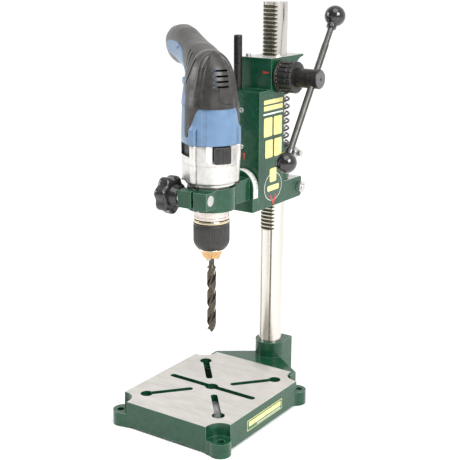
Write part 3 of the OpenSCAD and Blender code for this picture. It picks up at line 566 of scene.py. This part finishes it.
SPINE = [  # p, z, lean, half width, half height
    (5, 366, 0, 30.6, 34),
    (5, 376, 0, 30.6, 34),
    (5, 386, 2, 29.6, 33),
    (8, 398, 12, 27.5, 31),
    (15, 409, 28, 24.5, 28.5),
    (26, 418, 48, 21.5, 24.5),
    (40, 423.5, 64, 19.5, 20.5),
    (56, 427, 74, 18.3, 19),
    (74, 430.5, 80, 17.5, 20),
    (92, 433.5, 84, 17, 22.5),
    (110, 434.5, 88, 16.8, 23.7),
    (126, 434.5, 92, 16.3, 21.5),
    (139, 434.5, 96, 14.5, 16),
    (148, 434, 98, 10.5, 9.5),
    (152, 434, 98, 5, 4),
]
SPLIT_Z = 375.5
DOME_HEIGHT = 62.5
RIDGE = [(4.5, 434), (12.5, 428), (17.8, 418), (20.6, 405), (22.8, 391), (24.4, 374)]  # s, z
RIDGE_R = 3.4
RIDGE_RISE = 2.3
VOXEL = 1.1


def handle_section(p, z, lean, half_width, half_height):
    """A rounded section square to the handle's spine, which leans from the vertical."""
    lean = math.radians(lean)

    def point(angle):
        u, v = math.cos(angle), math.sin(angle)
        u = math.copysign(abs(u) ** 0.8, u) * half_height
        v = math.copysign(abs(v) ** 0.8, v) * half_width
        return drill_point(p + u * math.cos(lean), v, z - u * math.sin(lean))
    return point


def dome_scale(z):
    """How much of its full width the shield's dome keeps at a height."""
    rise = min(1.0, max(0.0, (z - SPLIT_Z) / DOME_HEIGHT))
    return math.sqrt(max(0.0004, 1 - rise ** 3))


def dome_section(z):
    scale = dome_scale(z)

    def point(angle):
        return drill_point(4 - 32.5 * scale * math.cos(angle),
                           29.3 * scale * math.sin(angle), z)
    return point


def ridge_line(dome, side):
    """The lip that frames the shield, laid on the dome and partly sunk into it."""
    places = []
    for s, z in through(RIDGE, 26):
        start = drill_point(-FAR, s * side, z)
        hit, normal = landing(dome, start, drill_point(1, 0, 0))
        places.append(hit - normal * (RIDGE_R - RIDGE_RISE))
    return places


def rear_form():
    """Dome, lips and handle melted into one smooth body."""
    bm = bmesh.new()
    heights = [366, SPLIT_Z, 384, 392, 400, 407, 414, 420, 425, 429, 432.5, 435, 436.8, 437.8]
    loft(bm, [dome_section(z) for z in heights])
    dome = tree_of(finish_mesh(bm.copy()))
    loft(bm, [handle_section(*row) for row in SPINE])
    for side in (-1, 1):
        tube(bm, ridge_line(dome, side), RIDGE_R, 16)
    obj = loose(finish_mesh(bm))
    weld = obj.modifiers.new("melt", "REMESH")
    weld.mode = "VOXEL"
    weld.voxel_size = VOXEL * MM
    smooth = obj.modifiers.new("blend", "SMOOTH")
    smooth.factor = 0.5
    smooth.iterations = 5
    mesh = applied(obj)
    mesh.materials.clear()
    mesh.materials.append(RUBBER)
    foot = bmesh.new()
    slab(foot, (-90, -90, 340), (90, 90, SPLIT_Z + 0.2))
    return carved(mesh, [with_material(foot, RUBBER)])


def shield_half_width(z):
    share = min(1.0, max(0.0, (z - 376) / 60))
    return 20.5 * (1 - share ** 1.7) ** 0.5


def add_shield(bm, form):
    """The bulged panel between the two lips."""
    heights = [375.8 + 59.6 * math.sin(math.pi / 2 * share) for share in spread(0, 1, 40)]
    left = [Vector((-shield_half_width(z) - 0.3, z)) for z in heights]
    right = [Vector((shield_half_width(z) + 0.3, z)) for z in heights]

    def place(at):
        return landing(form, drill_point(-FAR, at.x, at.y), drill_point(1, 0, 0))

    def rise(share, along):
        edge = (1 - abs(2 * share - 1) ** 4) ** 0.8
        return 2.6 * edge * (1 - step(0.95, 1, along)) - 0.6

    strip(bm, left, right, place, rise, 3.5, 30)


def side_place(form, side):
    """Casts from a side of the drill: coordinates are p and z."""
    def place(at):
        return landing(form, drill_point(at.x, BESIDE * side, at.y), drill_point(0, -side, 0))
    return place


GRIP_FRONT = [(128, 433), (118, 438.5), (101, 440.5), (75, 439), (54, 433), (46, 425),
              (38, 415), (26, 406), (12, 395), (2, 383), (0.5, 370)]
GRIP_BACK = [(128, 430), (118, 425), (93, 421), (76, 417), (63, 412), (54, 405),
             (48, 399), (44, 394), (41, 388), (39, 382), (38, 370)]


def add_grip(bm, form, side):
    """The blue inlay along one side of the handle, running down to the barrel."""
    strip(bm, through(GRIP_FRONT, 60), through(GRIP_BACK, 60), side_place(form, side),
          pillow(0.7, 0.5, 10, 30), 2.0, 18)


SLOT_R = 1.25
SLOT_FIRST = [(28, 15, 436), (25.5, 20.5, 425), (27, 22.5, 415)]  # p, s, z
SLOT_LAST = [(-0.5, 17.3, 429), (-1.5, 25, 414), (5.5, 28.3, 400)]


def side_slots(form, side):
    """Four steep air slots behind the shield, as cutters whose walls are lined near black as painted shade."""
    bm = bmesh.new()
    for share in spread(0, 1, 4):
        line = [Vector(a).lerp(Vector(b), share) for a, b in zip(SLOT_FIRST, SLOT_LAST)]
        places = []
        for at in through(line, 22):
            near = form.find_nearest(drill_point(at.x, at.y * side, at.z) * MM)
            places.append(near[0] / MM - near[1] * 0.3)
        tube(bm, places, SLOT_R, 10)
    return with_material(bm, SHADE_AND_JOINT_BLACK)


VENT_HEIGHTS = [417, 411, 405.2, 399.6]
VENT_HALF_HEIGHT = 1.15


def vent(bm, z, s_low, s_high, reach):
    """A flat slot with round ends that reaches into the shield."""
    front = 3.2 - 34 * dome_scale(z)

    def ring(p):
        points = []
        for angle in turns(16):
            side = 1 if math.cos(angle) >= 0 else -1
            middle = s_high - VENT_HALF_HEIGHT if side > 0 else s_low + VENT_HALF_HEIGHT
            points.append(drill_point(p, middle + VENT_HALF_HEIGHT * math.cos(angle),
                                      z + VENT_HALF_HEIGHT * math.sin(angle)))
        return points
    join_rings(bm, [ring(front - 8), ring(front + reach)])


def vent_cutters():
    """The deep part of each vent, lined near black as painted shade, and the shallow lit part beside it."""
    deep, shallow = bmesh.new(), bmesh.new()
    for z in VENT_HEIGHTS:
        vent(deep, z, -11.8, 1.8, 9)
        vent(shallow, z, 0.2, 7.4, 2.6)
    return [with_material(deep, SHADE_AND_JOINT_BLACK), with_material(shallow, SLATE)]


def panel_line(form):
    """The thin joint line low on the shield, as a cutter."""
    bm = bmesh.new()
    line = [(0.7, 399), (0.7, 393), (0.7, 388), (-0.6, 384), (-4, 381.6), (-9, 380.8),
            (-16.5, 380.5)]
    places = []
    for at in through(line, 24):
        places.append(landing(form, drill_point(-FAR, at.x, at.y), drill_point(1, 0, 0))[0])
    tube(bm, places, 0.32, 8)
    return with_material(bm, SHADE_AND_JOINT_BLACK)


def add_rear_shell():
    form = rear_form()
    tree = tree_of(form)
    bm = bmesh.new()
    add_shield(bm, tree)
    shield = with_material(bm, RUBBER)
    shield_tree = tree_of(form, shield)
    slots = [side_slots(tree, side) for side in (-1, 1)]
    shell = carved(form, slots + vent_cutters())
    piece("rear_shell", shell, None, "rear_shell_left",
          ["rear_shell_left", "rear_shell_right", "butt_plate"])
    panel = carved(shield, vent_cutters() + [panel_line(shield_tree)])
    piece("shield", panel, None, "rear_shell_left")
    for side, name in ((1, "left"), (-1, "right")):
        bm = bmesh.new()
        add_grip(bm, tree, side)
        piece("grip_inlay_" + name, with_material(bm, BLUE), None, "motor_housing")
    return form


# ---- drill: barrel and gearbox --------------------------------------------------------

BODY_P = 5
BARREL_LOW = 334


def body_radius(degrees, z):
    """The barrel's radius from its own axis, with its bosses, channels and flats."""
    away = abs(degrees)
    low = step(289, 291.2, z)
    base = 28 + 3.4 * low
    base += 0.5 * step(291, 330, z) - 0.9 * step(338, 376, z)
    top = 1 - step(351, 357.5, z)
    boss = 2.3 * band(53, 66, away, 3.5) * top * low * (0.35 + 0.65 * step(291, 326, z))
    channel = -1.9 * band(48.3, 50.3, away, 1.4) * (1 - step(350, 353.5, z))
    flat = -0.7 * band(29, 35, away, 3) * step(330, 336, z)
    return base + boss + channel + flat


def body_centre(angle):
    """The barrel is drawn from two centres, so it is longer from front to back."""
    return BODY_P - 4 * math.tanh(5 * math.cos(angle))


def body_section(z, shrink=0.0):
    def point(angle):
        degrees = math.degrees(angle)
        degrees = degrees - 360 if degrees > 180 else degrees
        reach = body_radius(degrees, z) - shrink
        centre = body_centre(angle)
        return drill_point(centre - reach * math.cos(angle), reach * math.sin(angle), z)
    return point


def body_loft(bm, rows):
    """rows are heights, or (height, shrink) pairs where a joint line or edge sinks in."""
    sections = [body_section(*(row if isinstance(row, tuple) else (row,))) for row in rows]
    loft(bm, sections, 300)


def add_barrel():
    bm = bmesh.new()
    rows = [(BARREL_LOW + 0.1, 1.2), (BARREL_LOW + 0.15, 0.4), (BARREL_LOW + 0.5, 0.05)]
    rows += spread(335, 349, 6) + spread(350, 359, 14) + spread(361, 374.6, 6)
    rows += [(375.5, 0.1), (375.9, 0.5), (376, 1.4)]
    body_loft(bm, rows)
    mesh = with_material(bm, BLUE)
    piece("barrel", mesh, None, "motor_housing", ["motor_housing"])
    return mesh


def wedge(bm, low, high, z_low, z_high, inner, outer=42, round_low=0.0):
    """A block round the drill's front between two values of s."""
    outline = [(low, z_high), (high, z_high)]
    for side, corner in ((1, high), (-1, low)):
        turn = spread(0, 90, 6) if side > 0 else spread(90, 0, 6)
        outline += [(corner - side * round_low * (1 - math.cos(math.radians(a))),
                     z_low + round_low * (1 - math.sin(math.radians(a)))) for a in turn]
    rings = [[drill_point(p, s, z) for s, z in outline] for p in (-outer, -inner)]
    join_rings(bm, rings)


def recess(side):
    """The dark pocket at a side of the gearbox, under the barrel."""
    bm = bmesh.new()
    rings = []
    for reach in (28.6, 40):
        ring = []
        for z, angles in ((320.5, spread(63, 104, 8)), (334.6, spread(104, 63, 8))):
            for degrees in angles:
                angle = math.radians(degrees)
                centre = body_centre(angle)
                ring.append(drill_point(centre - reach * math.cos(angle),
                                        side * reach * math.sin(angle), z))
        rings.append(ring)
    join_rings(bm, rings)
    return with_material(bm, MATTE)


def add_gearbox():
    """The alloy gear case with its selector window and side pockets, and its neck."""
    bm = bmesh.new()
    rows = [(286.4, 0.9), (286.9, 0.3), (288.4, 0.2)] + spread(289, 291.2, 6)
    rows += [(291.6, 0.0), (291.8, 0.35), (292.1, 0.0)] + spread(293, 310, 8)
    rows += [311.0, (311.25, 0.4), (311.5, 0.4), 311.75] + spread(313, 333, 10)
    rows += [(333.6, 0.15), (333.85, 0.6), (333.9, 1.4)]
    body_loft(bm, rows)
    case = with_material(bm, ALLOY)
    window = bmesh.new()
    wedge(window, -14.6, 14.6, 314.6, 335, 26.2, round_low=4.2)
    dark = bmesh.new()
    wedge(dark, -14.2, 7.2, 315.2, 335, 25.4, round_low=3.6)
    # The deeper pocket round the knob is lined near black as painted shade.
    cutters = [with_material(window, WINDOW_WHITE), with_material(dark, SHADE_AND_JOINT_BLACK),
               recess(-1), recess(1)]
    piece("gear_case", carved(case, cutters), None, "gearbox_housing", ["gearbox_housing"])
    neck = bmesh.new()
    spun(neck, [(245.6, 17), (245.7, 20.2), (246.1, 20.6), (248.6, 20.6), (249, 20.2),
                (258, 20.2), (259.4, 21.4), (286.5, 21.4), (286.6, 12)], sides=128)
    piece("drill_neck", with_material(neck, WARM_STEEL), None, "gearbox_housing")


def add_selector():
    """The sliding knob in the window, ribbed upright along its face."""
    bm = bmesh.new()
    rings = []
    for z, inset in ((313.8, 1.6), (314.4, 0.5), (315.4, 0), (331.8, 0), (332.8, 0.6),
                     (333.2, 1.6)):
        front = []
        for s in spread(-13.2 + inset, 6.2 - inset, 40):
            rib = 0.3 * math.cos(math.tau * (s - 1) / 5.2)
            bulge = 1.6 * math.cos((s + 3.5) / 9.8 * 1.3)
            front.append(drill_point(-31.4 - bulge - rib * band(-9, 2.5, s, 1) + inset, s, z))
        back = [drill_point(-26, 6.2 - inset, z), drill_point(-26, -13.2 + inset, z)]
        rings.append(front + back)
    join_rings(bm, rings)
    mesh = rounded(finish_mesh(bm), 0.5, 2, 50)
    piece("selector_knob", mesh, [KNOB], "mode_selector", ["mode_selector"])


TONGUE_FRONT = [(38, 394), (38, 385), (39, 375.7), (44.5, 371), (53, 361), (59, 353), (65, 345),
                (71, 341.8)]  # degrees from the drill's front, z
TONGUE_BACK = [(80, 394), (81, 385), (82, 375.7), (81.5, 371), (80.5, 361), (79.5, 353),
               (78, 345), (74.5, 341.8)]


def add_tongue(form, barrel, side, name):
    """The pointed rubber tongue that runs from the shell down over the barrel."""
    tree = tree_of(form, barrel)
    def place(at):
        angle = math.radians(at.x) * side
        out = drill_point(-math.cos(angle), math.sin(angle), 0)
        return landing(tree, drill_point(BODY_P, 0, at.y) + out * BESIDE, -out)

    def rise(share, along):
        edge = (1 - abs(2 * share - 1) ** 9) ** 0.5
        fade = step(0.0, 0.30, along) * (1 - abs(along) ** 30) ** 0.5
        return 1.5 * edge * fade - 0.4

    bm = bmesh.new()
    strip(bm, through(TONGUE_FRONT, 54), through(TONGUE_BACK, 54), place, rise, 1.6, 20)
    piece("tongue_" + name, with_material(bm, RUBBER), None, "rear_shell_left")


shell_form = add_rear_shell()
barrel_form = add_barrel()
add_gearbox()
add_selector()
add_tongue(shell_form, barrel_form, 1, "left")
add_tongue(shell_form, barrel_form, -1, "right")

# ---- drill: chuck ---------------------------------------------------------------------


def add_sleeve():
    """The keyless sleeve: ribbed grip above, taper below, and a bright ring at its end."""
    bm = bmesh.new()
    ribs = 42

    def ribbed(radius, depth):
        return lambda angle: radius - depth * (0.5 - 0.5 * math.cos(ribs * angle)) ** 2

    rows = [(211.2, 15.2), (209.6, 15.7), (209.4, 16.0)]
    for share in spread(0, 1, 9):
        radius = 16.2 + 5.0 * math.sin(math.pi / 2 * share) ** 0.8
        rows.append((209.6 + 10.2 * share, ribbed(radius, 0.45 * share)))
    rows += [(z, ribbed(21.2, 0.55)) for z in spread(221, 237.5, 6)]
    rows += [(238.4, 20.6), (239.0, 20.5), (239.6, 21.1), (240.8, 21.2), (241.2, 20.9),
             (241.3, 19)]
    spun(bm, rows, sides=ribs * 8)
    ring = [(207.4, 13), (207.5, 15.1), (207.8, 15.5), (209.0, 15.9), (209.6, 15.6), (210, 14)]
    spun(bm, ring, sides=96, index=1)
    spun(bm, [(241.4, 18), (241.5, 20.6), (242.0, 21.1), (244.2, 21.1), (244.8, 20.7),
              (244.9, 18)], sides=96, index=1)
    mesh = with_material(bm, SLEEVE, PALE_GOLD)
    piece("sleeve_form", mesh, None, "chuck_sleeve", ["chuck_sleeve"])


add_sleeve()

# ---- star knob ------------------------------------------------------------------------


def add_star():
    """A thick seven-lobed knob, rounded over both faces."""
    bm = bmesh.new()
    lobes, reach, valley = 7, 22.8, 3.0
    phase = math.radians(12)

    def outline(shrink):
        return lambda angle: (reach - valley * (0.5 - 0.5 * math.cos(
            lobes * (angle - phase))) ** 1.2) * shrink

    rows = []
    for angle in spread(0, math.pi, 22):
        along = math.copysign(abs(math.cos(angle)) ** 0.42, math.cos(angle))
        rows.append((STAR.x - 8.2 * along, outline(max(0.02, math.sin(angle) ** 0.3))))
    spun(bm, rows, about_x(STAR), 168)
    spun(bm, [(STAR.x, 13.4), (-28.6, 12.6), (-26.6, 11.2), (-22.6, 10.4), (-22.3, 9.6)],
         about_x(STAR), 64)
    piece("star_form", with_material(bm, STAR_BLACK, sharp=60), None, "star_knob",
          ["star_knob"])


add_star()

# ---- depth dial -----------------------------------------------------------------------

DIAL_LOW, DIAL_HIGH = (corner.x for corner in box_mm("depth_dial"))


def add_dial():
    """The depth dial: a flange, a drum with pairs of raised bars, and a stepped rim."""
    bm = bmesh.new()
    pairs = 9

    def bars(height):
        def radius(angle):
            phase = (angle / math.tau * pairs) % 1.0
            return 16.9 + height * max(band(0.12, 0.36, phase, 0.06),
                                       band(0.56, 0.80, phase, 0.06))
        return radius

    def notched(angle):
        phase = (angle / math.tau * pairs) % 1.0
        return 18.7 - 0.9 * band(0.40, 0.52, phase, 0.03) - 0.9 * band(0.88, 0.98, phase, 0.03)

    rows = [(DIAL_LOW, 12), (DIAL_LOW + 0.1, 18.6), (DIAL_LOW + 0.5, 19.1)]
    rows += [(DIAL_LOW + 2.6, 19.1), (DIAL_LOW + 3, 18.7), (DIAL_LOW + 3.1, 17.2)]
    rows += [(DIAL_LOW + 4.6, 17.2), (DIAL_LOW + 5.2, bars(1.4))]
    rows += [(DIAL_LOW + 5.7, bars(1.8)), (DIAL_HIGH - 7.6, bars(1.8)),
             (DIAL_HIGH - 7.1, bars(1.4)), (DIAL_HIGH - 6.6, 17.3), (DIAL_HIGH - 5.6, 17.3)]
    rows += [(DIAL_HIGH - 5.4, notched), (DIAL_HIGH - 1.2, notched), (DIAL_HIGH - 0.4, 17.6),
             (DIAL_HIGH, 16.6), (DIAL_HIGH, 12)]
    spun(bm, rows, about_x(FEED), pairs * 32)
    mesh = with_material(bm, DIAL_BLACK, sharp=30)
    piece("dial_form", mesh, None, "depth_dial", ["depth_dial"])
    marks = bmesh.new()
    for k in range(24):
        angle = math.tau * k / 24
        long_mark = 1.0 if k % 4 == 0 else 0.55
        out = Vector((0, math.cos(angle), math.sin(angle)))
        middle = Vector((DIAL_LOW + 3.9, FEED.y, FEED.z)) + out * 17.15
        across = Vector((0, -out.z, out.y))
        ends = []
        for high in (-0.3, 0.12):
            ends.append([middle + out * high + across * a + Vector((x * long_mark, 0, 0))
                         for a, x in ((-0.35, -0.7), (0.35, -0.7), (0.35, 0.7), (-0.35, 0.7))])
        join_rings(marks, ends)
    piece("dial_marks", with_material(marks, YELLOW), None, "depth_dial")


add_dial()

# ---- return spring --------------------------------------------------------------------

SPRING_WIRE = 2.5
SPRING_R = 18.6
SPRING_TURNS = 7.2


def add_spring():
    """The return spring: coils with one closed turn at each end."""
    low, high = (corner.z for corner in box_mm("return_spring"))
    inner = high - low - SPRING_WIRE
    lead = (inner - 2 * SPRING_WIRE) / SPRING_TURNS

    def height(t):
        if t < 1:
            return t * SPRING_WIRE
        if t > SPRING_TURNS + 1:
            return inner - SPRING_WIRE * (SPRING_TURNS + 2 - t)
        return SPRING_WIRE + (t - 1) * lead

    places = [Vector((SPRING_R * math.cos(math.tau * t), COLUMN_Y
                      + SPRING_R * math.sin(math.tau * t), low + SPRING_WIRE / 2 + height(t)))
              for t in spread(0, SPRING_TURNS + 2, 440)]
    bm = bmesh.new()
    tube(bm, places, SPRING_WIRE / 2, 14)
    obj = piece("spring_coil", with_material(bm, SPRING), None, "return_spring",
                ["return_spring"])
    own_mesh(obj)


add_spring()

# ---- labels and scales ----------------------------------------------------------------

SIDE_X = box_mm("side_label")[0].x


def plate(bm, outline, thick, index):
    """A thin plate on the head's right face; outline is in y and z."""
    rings = [[Vector((SIDE_X + x, y, z)) for y, z in outline] for x in (-0.05, thick)]
    join_rings(bm, rings, index)


def block_outline(y0, y1, z0, z1, corner=1.6):
    """A rounded block in y and z."""
    points = []
    for cy, cz, start in ((y1, z1, 0), (y0, z1, 90), (y0, z0, 180), (y1, z0, 270)):
        middle_y = cy - corner if cy == y1 else cy + corner
        middle_z = cz - corner if cz == z1 else cz + corner
        for degrees in spread(start, start + 90, 5):
            a = math.radians(degrees)
            points.append((middle_y + corner * math.cos(a), middle_z + corner * math.sin(a)))
    return points


def oval(y, z, half_y, half_z, sides=48):
    return [(y + half_y * math.cos(a), z + half_z * math.sin(a)) for a in turns(sides)]


def add_side_label():
    """Plain printed blocks: a band over two rows of blocks, and an oval badge below."""
    bm = bmesh.new()
    yellow, dark, white, red = 0, 1, 2, 3
    plate(bm, block_outline(75.6, 119.6, 359.5, 374.2), 0.22, dark)
    plate(bm, block_outline(76.4, 118.8, 368.4, 373.4, 1.0), 0.30, yellow)
    plate(bm, block_outline(76.4, 118.8, 360.8, 366.4, 1.0), 0.30, yellow)
    plate(bm, block_outline(75.6, 119.6, 355.6, 357.6, 0.5), 0.26, white)
    for z_low, z_high, start in ((328.6, 353.2, 75.6), (302.6, 326.2, 79.2)):
        half = (119.4 - start) / 2
        for k in range(2):
            left = start + k * half + 0.5
            plate(bm, block_outline(left, left + half - 1.4, z_low, z_high, 2.6), 0.22, dark)
            plate(bm, block_outline(left + 0.9, left + half - 2.3, z_low + 0.9, z_high - 0.9, 2.0),
                  0.30, yellow)
    plate(bm, oval(99.5, 266.5, 19.8, 17.4), 0.26, white)
    plate(bm, oval(99.5, 266.5, 19.1, 16.7), 0.32, dark)
    plate(bm, block_outline(91.5, 106.5, 272.6, 289.5, 2.4), 0.36, yellow)
    plate(bm, block_outline(86.5, 112.5, 261.8, 268.6, 1.6), 0.36, yellow)
    chevron = [(92, 256.4), (95.4, 256.1), (99.9, 248.2), (104.6, 255.6), (108, 255.4),
               (100, 242.6)]
    plate(bm, chevron, 0.36, red)
    mesh = with_material(bm, YELLOW, LABEL_DARK, LABEL_WHITE, RED)
    piece("side_print", mesh, None, "side_label", ["side_label"])


def add_base_label():
    """A plain yellow bar in a thin outline on the base's right side."""
    low, high = box_mm("base_label")
    bm = bmesh.new()

    def bar(inset_y, inset_z, thick, index, drop=0.0):
        outline = block_outline(low.y + inset_y, high.y - inset_y, low.z + inset_z + drop,
                          high.z - inset_z + drop, 1.4)
        rings = [[Vector((low.x + x, y, z)) for y, z in outline] for x in (-0.05, thick)]
        join_rings(bm, rings, index)

    bar(0, 0, 0.2, 0)
    bar(0.7, 0.7, 0.26, 1)
    bar(3.4, 3.6, 0.34, 0, 1.2)
    outline = block_outline(low.y + 20, high.y - 4, low.z + 1.9, low.z + 2.9, 0.4)
    rings = [[Vector((low.x + x, y, z)) for y, z in outline] for x in (-0.05, 0.34)]
    join_rings(bm, rings, 2)
    mesh = with_material(bm, YELLOW, LABEL_GREEN, LABEL_WHITE)
    piece("base_print", mesh, None, "base_label", ["base_label"])


def add_tape_ticks():
    """Fine division marks round the tilt scale, longer at every 15 degrees."""
    high = box_mm("scale_tape")[1]
    radius = high.x
    bm = bmesh.new()
    for degrees in range(0, 181, 5):
        a = math.radians(degrees)
        out = Vector((math.cos(a), 0, math.sin(a)))
        across = Vector((-out.z, 0, out.x))
        reach = 4.2 if degrees % 15 == 0 else 2.6
        middle = Vector((TILT.x, high.y - reach / 2, TILT.z)) + out * radius
        rings = []
        for y in (-reach / 2, reach / 2):
            rings.append([middle + Vector((0, y, 0)) + across * u + out * v
                          for u, v in ((-0.32, -0.1), (0.32, -0.1), (0.32, 0.1),
                                       (-0.32, 0.1))])
        join_rings(bm, rings)
    piece("tape_ticks", with_material(bm, MATTE), None, "scale_tape")


add_side_label()
add_base_label()
add_tape_ticks()

# ---- camera, lights and floor ---------------------------------------------------------


CAMERA_PLACE = (0.650184, -0.917858, 0.544812)
CAMERA_TURN, CAMERA_DOWN, CAMERA_ROLL = 34.219, 15.61, 0.233


def add_camera():
    """The camera stands at the right front and looks a little down."""
    data = bpy.data.cameras.new("camera")
    data.sensor_width = 36
    data.lens = 78.7
    data.clip_end = 20
    camera = bpy.data.objects.new("camera", data)
    turn = Matrix.Rotation(math.radians(CAMERA_TURN), 4, "Z")
    nod = Matrix.Rotation(math.radians(90 - CAMERA_DOWN), 4, "X")
    roll = Matrix.Rotation(math.radians(CAMERA_ROLL), 4, "Z")
    camera.matrix_world = Matrix.Translation(CAMERA_PLACE) @ turn @ nod @ roll
    bpy.context.scene.collection.objects.link(camera)
    bpy.context.scene.camera = camera


def add_sun(power, spread_angle):
    """Even soft light from above that keeps the whole floor white."""
    data = bpy.data.lights.new("sky", "SUN")
    data.energy = power
    data.angle = math.radians(spread_angle)
    light = bpy.data.objects.new("sky", data)
    light.rotation_euler = (math.radians(18), math.radians(14), 0)
    bpy.context.scene.collection.objects.link(light)


def add_light(name, place, target, size, power):
    """A square soft box at a place, aimed at a target, both in metres."""
    data = bpy.data.lights.new(name, "AREA")
    data.size = size
    data.energy = power
    light = bpy.data.objects.new(name, data)
    light.location = place
    aim = Vector(target) - Vector(place)
    light.rotation_euler = aim.to_track_quat("-Z", "Y").to_euler()
    bpy.context.scene.collection.objects.link(light)


def add_floor():
    bm = bmesh.new()
    bmesh.ops.create_grid(bm, x_segments=2, y_segments=2, size=6)
    mesh = finish_mesh(bm, "floor")
    floor = bpy.data.objects.new("floor", mesh)
    mesh.materials.append(surface("floor", (0.90, 0.90, 0.90), (0.93, 0.93, 0.93), 0.9,
                                  grain=3, bump=0.0))
    bpy.context.scene.collection.objects.link(floor)


def add_world():
    """A soft studio: white behind the drill press and dimmer in front of it."""
    world = bpy.data.worlds.new("studio")
    world.use_nodes = True
    nodes, links = world.node_tree.nodes, world.node_tree.links
    place = nodes.new("ShaderNodeTexCoord")
    split = nodes.new("ShaderNodeSeparateXYZ")
    links.new(place.outputs["Generated"], split.inputs["Vector"])
    shade = nodes.new("ShaderNodeMapRange")
    shade.inputs["From Min"].default_value = -0.6
    shade.inputs["From Max"].default_value = 0.5
    shade.inputs["To Min"].default_value = 0.38
    shade.inputs["To Max"].default_value = 1.05
    links.new(split.outputs["Y"], shade.inputs["Value"])
    background = nodes["Background"]
    background.inputs["Color"].default_value = (1, 1, 1, 1)
    links.new(shade.outputs["Result"], background.inputs["Strength"])
    bpy.context.scene.world = world


bpy.context.scene.view_settings.view_transform = "Standard"
add_camera()
add_world()
add_floor()
add_light("key", (1.5, -0.5, 1.2), (0, 0, 0.25), 0.8, 30)
add_light("fill", (-1.5, -0.7, 0.9), (0, 0, 0.25), 0.8, 12)
add_sun(1.5, 50)
